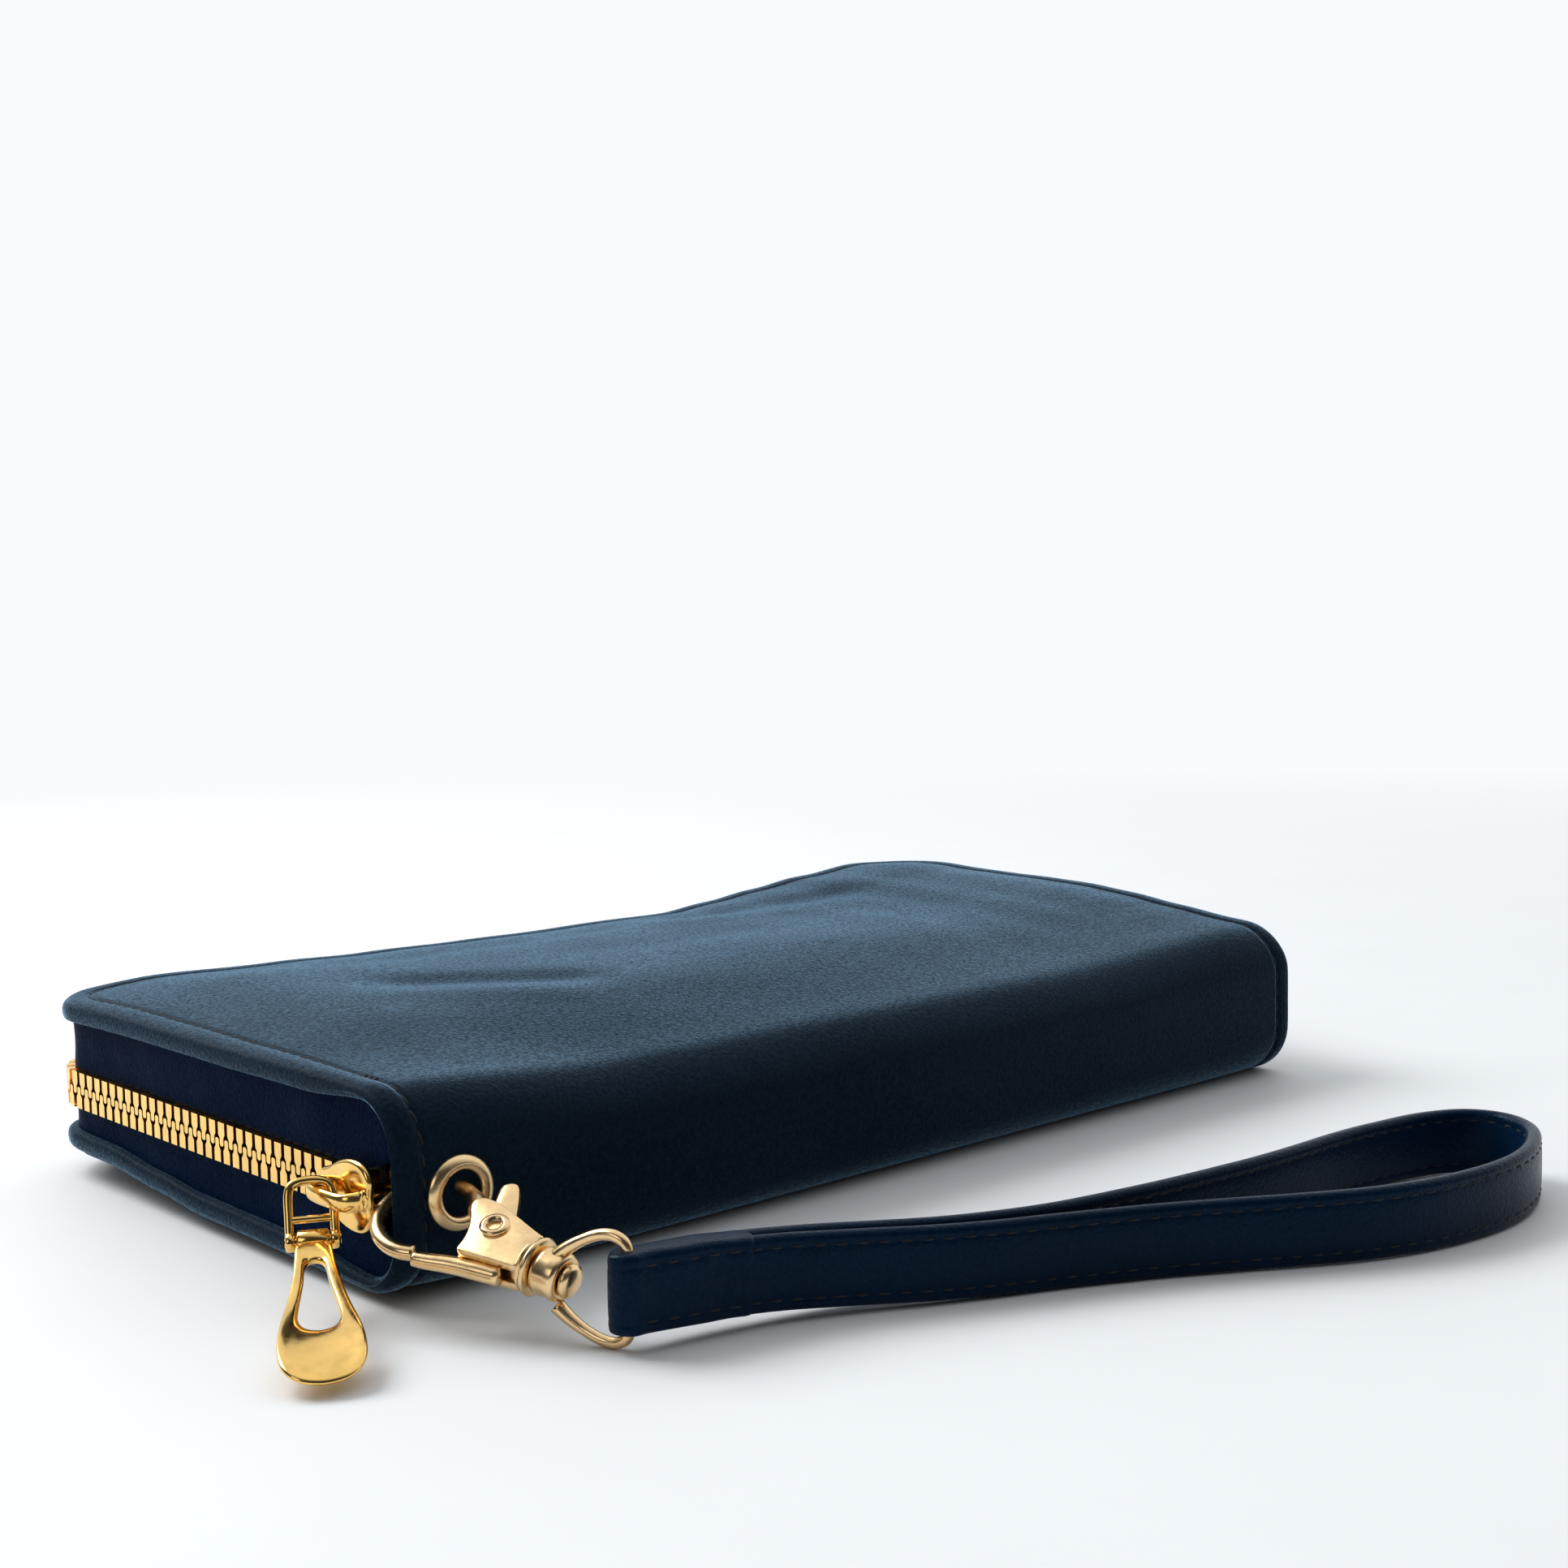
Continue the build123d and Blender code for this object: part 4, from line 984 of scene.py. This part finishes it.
line = strap_line()
frames = band_frames(line)
grid = []
for p, n, u, t in frames:
    uneven = band_waver(p)
    ring_points = [p + n * (a + uneven) + u * b for a, b in BAND_SECTION]
    ring_points += [p + n * (uneven - a) + u * b for a, b in reversed(BAND_SECTION[1:-1])]
    grid.append(ring_points)
sides = len(grid[0])
grid.insert(0, [line[0]] * sides)
grid.append([line[-1]] * sides)
band = grid_object("strap_band_leather", grid, False, True)
paint(band, STRAP)
add_modifier(band, "SUBSURF", levels=1, render_levels=1)

spots = []
for face in (-1, 1):
    for level in (-3.4, 3.4):
        row = [p + n * (face + band_waver(p)) + u * level for p, n, u, t in frames]
        normals = [n * face for p, n, u, t in frames]
        for centre, direction in spaced_spots(row):
            k = min(range(len(row)), key=lambda i: (row[i] - centre).length)
            spots.append((centre, direction, normals[k]))

SLEEVE = [(-84.04, -85.08, 7.5), (-80.59, -85.69, 7.45), (-73.0, -87.0, 7.2), (-67.4, -88.3, 6.85)]
FOLD_HALF = 2.7
FOLD_ANGLES = (90, 84, 72, 54, 36, 18)
LEAD = len(FOLD_ANGLES)
PATCH_AT = 10.5
sleeve_line, _ = smooth_line([Vector(p) for p in SLEEVE], [1.0] * len(SLEEVE), 12)
sleeve_frames = band_frames(sleeve_line)
first = sleeve_frames[0]
lead = [(first[0] - first[3] * FOLD_HALF * math.sin(math.radians(a)),) + first[1:] for a in FOLD_ANGLES]
sleeve_frames = lead + sleeve_frames
total = len(sleeve_frames)


def sleeve_half(i):
    """Half thickness of the folded end: round over the ring, slimmer past it, rolled off at its end."""
    if i < LEAD:
        return FOLD_HALF * math.cos(math.radians(FOLD_ANGLES[i]))
    t = (i - LEAD) / (total - LEAD - 1)
    half = FOLD_HALF - 0.28 * math.sin(math.pi * min(t * 2.2, 1.0)) + 0.05 * t
    return half - 0.75 * smooth((t - 0.93) / 0.07)


grid = []
sleeve_rows = []
for i, (p, n, u, t) in enumerate(sleeve_frames):
    half = sleeve_half(i)
    drop = 0.9 * (1 - i / LEAD) ** 2 if i < LEAD else 0.0
    tall = 5.15 + 0.12 * ruffle(p.x, p.y, p.z, 5.0, 2.0) - drop
    ahead = (p - sleeve_line[0]).length if i >= LEAD else 0.0
    spread, slim = max(half - BAND_HALF, 0), min(half / BAND_HALF, 1)
    points = []
    for a, b in BAND_SECTION:
        level = b / BAND_HALF_WIDE * tall
        mark = math.hypot(ahead - PATCH_AT, level * 0.8)
        dent = 0.4 * math.exp(-((mark - 2.0) / 0.4) ** 2) if ahead > PATCH_AT else 0.0
        rim = 1 if abs(b) < 4.95 else 0.55
        points.append(p + n * (spread * rim + a * slim - dent) + u * level)
    for a, b in reversed(BAND_SECTION[1:-1]):
        points.append(p - n * (spread + a * slim) + u * (b / BAND_HALF_WIDE * tall))
    grid.append(points)
    sleeve_rows.append((p, n, u, t, half))
cap = sum((q for q in grid[-1]), Vector()) / len(grid[-1])
grid.append([cap] * len(grid[-1]))
first_cap = sum((q for q in grid[0]), Vector()) / len(grid[0])
grid.insert(0, [first_cap] * len(grid[0]))
sleeve = grid_object("strap_fold_leather", grid, False, True)
paint(sleeve, STRAP)
add_modifier(sleeve, "SUBSURF", levels=1, render_levels=1)
for face in (-1, 1):
    for level in (-3.5, 3.5):
        row = [p + n * face * (half - 0.2) + u * level for p, n, u, t, half in sleeve_rows[8:-3]]
        for centre, direction in spaced_spots(row):
            k = min(range(8, total - 3), key=lambda i: (sleeve_rows[i][0] - centre).length)
            spots.append((centre, direction, sleeve_rows[k][1] * face))
strap_stitches = stitches("strap_stitches", spots, 2.0, 0.18)
paint(strap_stitches, THREAD)
for piece in (band, sleeve, strap_stitches):
    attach(piece, "strap")
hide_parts("strap_band")
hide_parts("strap_fold")

# ---- floor, light, camera
DAYLIGHT = (0.94, 0.975, 1.0, 1)
FLOOR_HALF = 6000
floor_mat, tree, shader, coords = material("pale_floor")
dust = texture(tree, coords, "ShaderNodeTexNoise", 30.0, Detail=2.0)
floor_tones = [(0.3, (0.80, 0.82, 0.84, 1)), (0.7, (0.815, 0.835, 0.855, 1))]
tree.links.new(ramp(tree, dust.outputs["Fac"], floor_tones), shader.inputs["Base Color"])
shader.inputs["Roughness"].default_value = 0.6
haze = tree.nodes.new("ShaderNodeEmission")
haze.inputs["Color"].default_value = DAYLIGHT
away = tree.nodes.new("ShaderNodeVectorMath")
away.operation = "LENGTH"
tree.links.new(coords, away.inputs[0])
blend_far = tree.nodes.new("ShaderNodeMixShader")
tree.links.new(span(tree, away.outputs["Value"], 0.22, 0.75, 0.0, 1.0), blend_far.inputs["Fac"])
tree.links.new(shader.outputs["BSDF"], blend_far.inputs[1])
tree.links.new(haze.outputs["Emission"], blend_far.inputs[2])
tree.links.new(blend_far.outputs["Shader"], tree.nodes["Material Output"].inputs["Surface"])
floor_corners = [(x * FLOOR_HALF, y * FLOOR_HALF, 0) for x, y in ((-1, -1), (1, -1), (1, 1), (-1, 1))]
floor = new_object("floor", floor_corners, [(0, 1, 2, 3)])
floor.location.z = -0.00005
paint(floor, floor_mat)

world = bpy.data.worlds.new("studio")
bpy.context.scene.world = world
world.use_nodes = True
bpy.context.scene.view_settings.view_transform = "Standard"
sky = world.node_tree
direction = sky.nodes.new("ShaderNodeTexCoord").outputs["Generated"]
toward = sky.nodes.new("ShaderNodeVectorMath")
toward.operation = "DOT_PRODUCT"
toward.inputs[1].default_value = (0.62, 0.45, 0.60)
sky.links.new(direction, toward.inputs[0])
glow = span(sky, toward.outputs["Value"], 0.02, 0.58, 0.05, 1.0)
sky.links.new(glow, sky.nodes["Background"].inputs["Strength"])
sky.nodes["Background"].inputs["Color"].default_value = DAYLIGHT


def area_light(name, place, target, size, power):
    """White rectangular light at a place, turned to a target."""
    data = bpy.data.lights.new(name, "AREA")
    data.shape = "RECTANGLE"
    data.size, data.size_y = size
    data.energy = power
    light = bpy.data.objects.new(name, data)
    light.location = place
    light.rotation_euler = (Vector(target) - Vector(place)).to_track_quat("-Z", "Y").to_euler()
    bpy.context.scene.collection.objects.link(light)


area_light("key", (-0.35, 0.75, 0.8), (0, 0, 0), (0.7, 0.7), 12)
area_light("side", (-0.9, -0.2, 0.45), (-0.08, -0.03, 0.01), (0.4, 0.4), 0.7)

CAMERA_PLACE = (-0.24185, -0.29028, 0.09234)
CAMERA_TURN, CAMERA_DOWN, CAMERA_ROLL = -42.01, 5.13, -1.14
camera_data = bpy.data.cameras.new("camera")
camera_data.lens = 49.87
camera_data.sensor_width = 36.0
camera = bpy.data.objects.new("camera", camera_data)
turn = Matrix.Rotation(math.radians(CAMERA_TURN), 4, "Z")
turn = turn @ Matrix.Rotation(math.radians(90 - CAMERA_DOWN), 4, "X")
turn = turn @ Matrix.Rotation(math.radians(CAMERA_ROLL), 4, "Z")
camera.matrix_world = Matrix.Translation(CAMERA_PLACE) @ turn
bpy.context.scene.collection.objects.link(camera)
bpy.context.scene.camera = camera
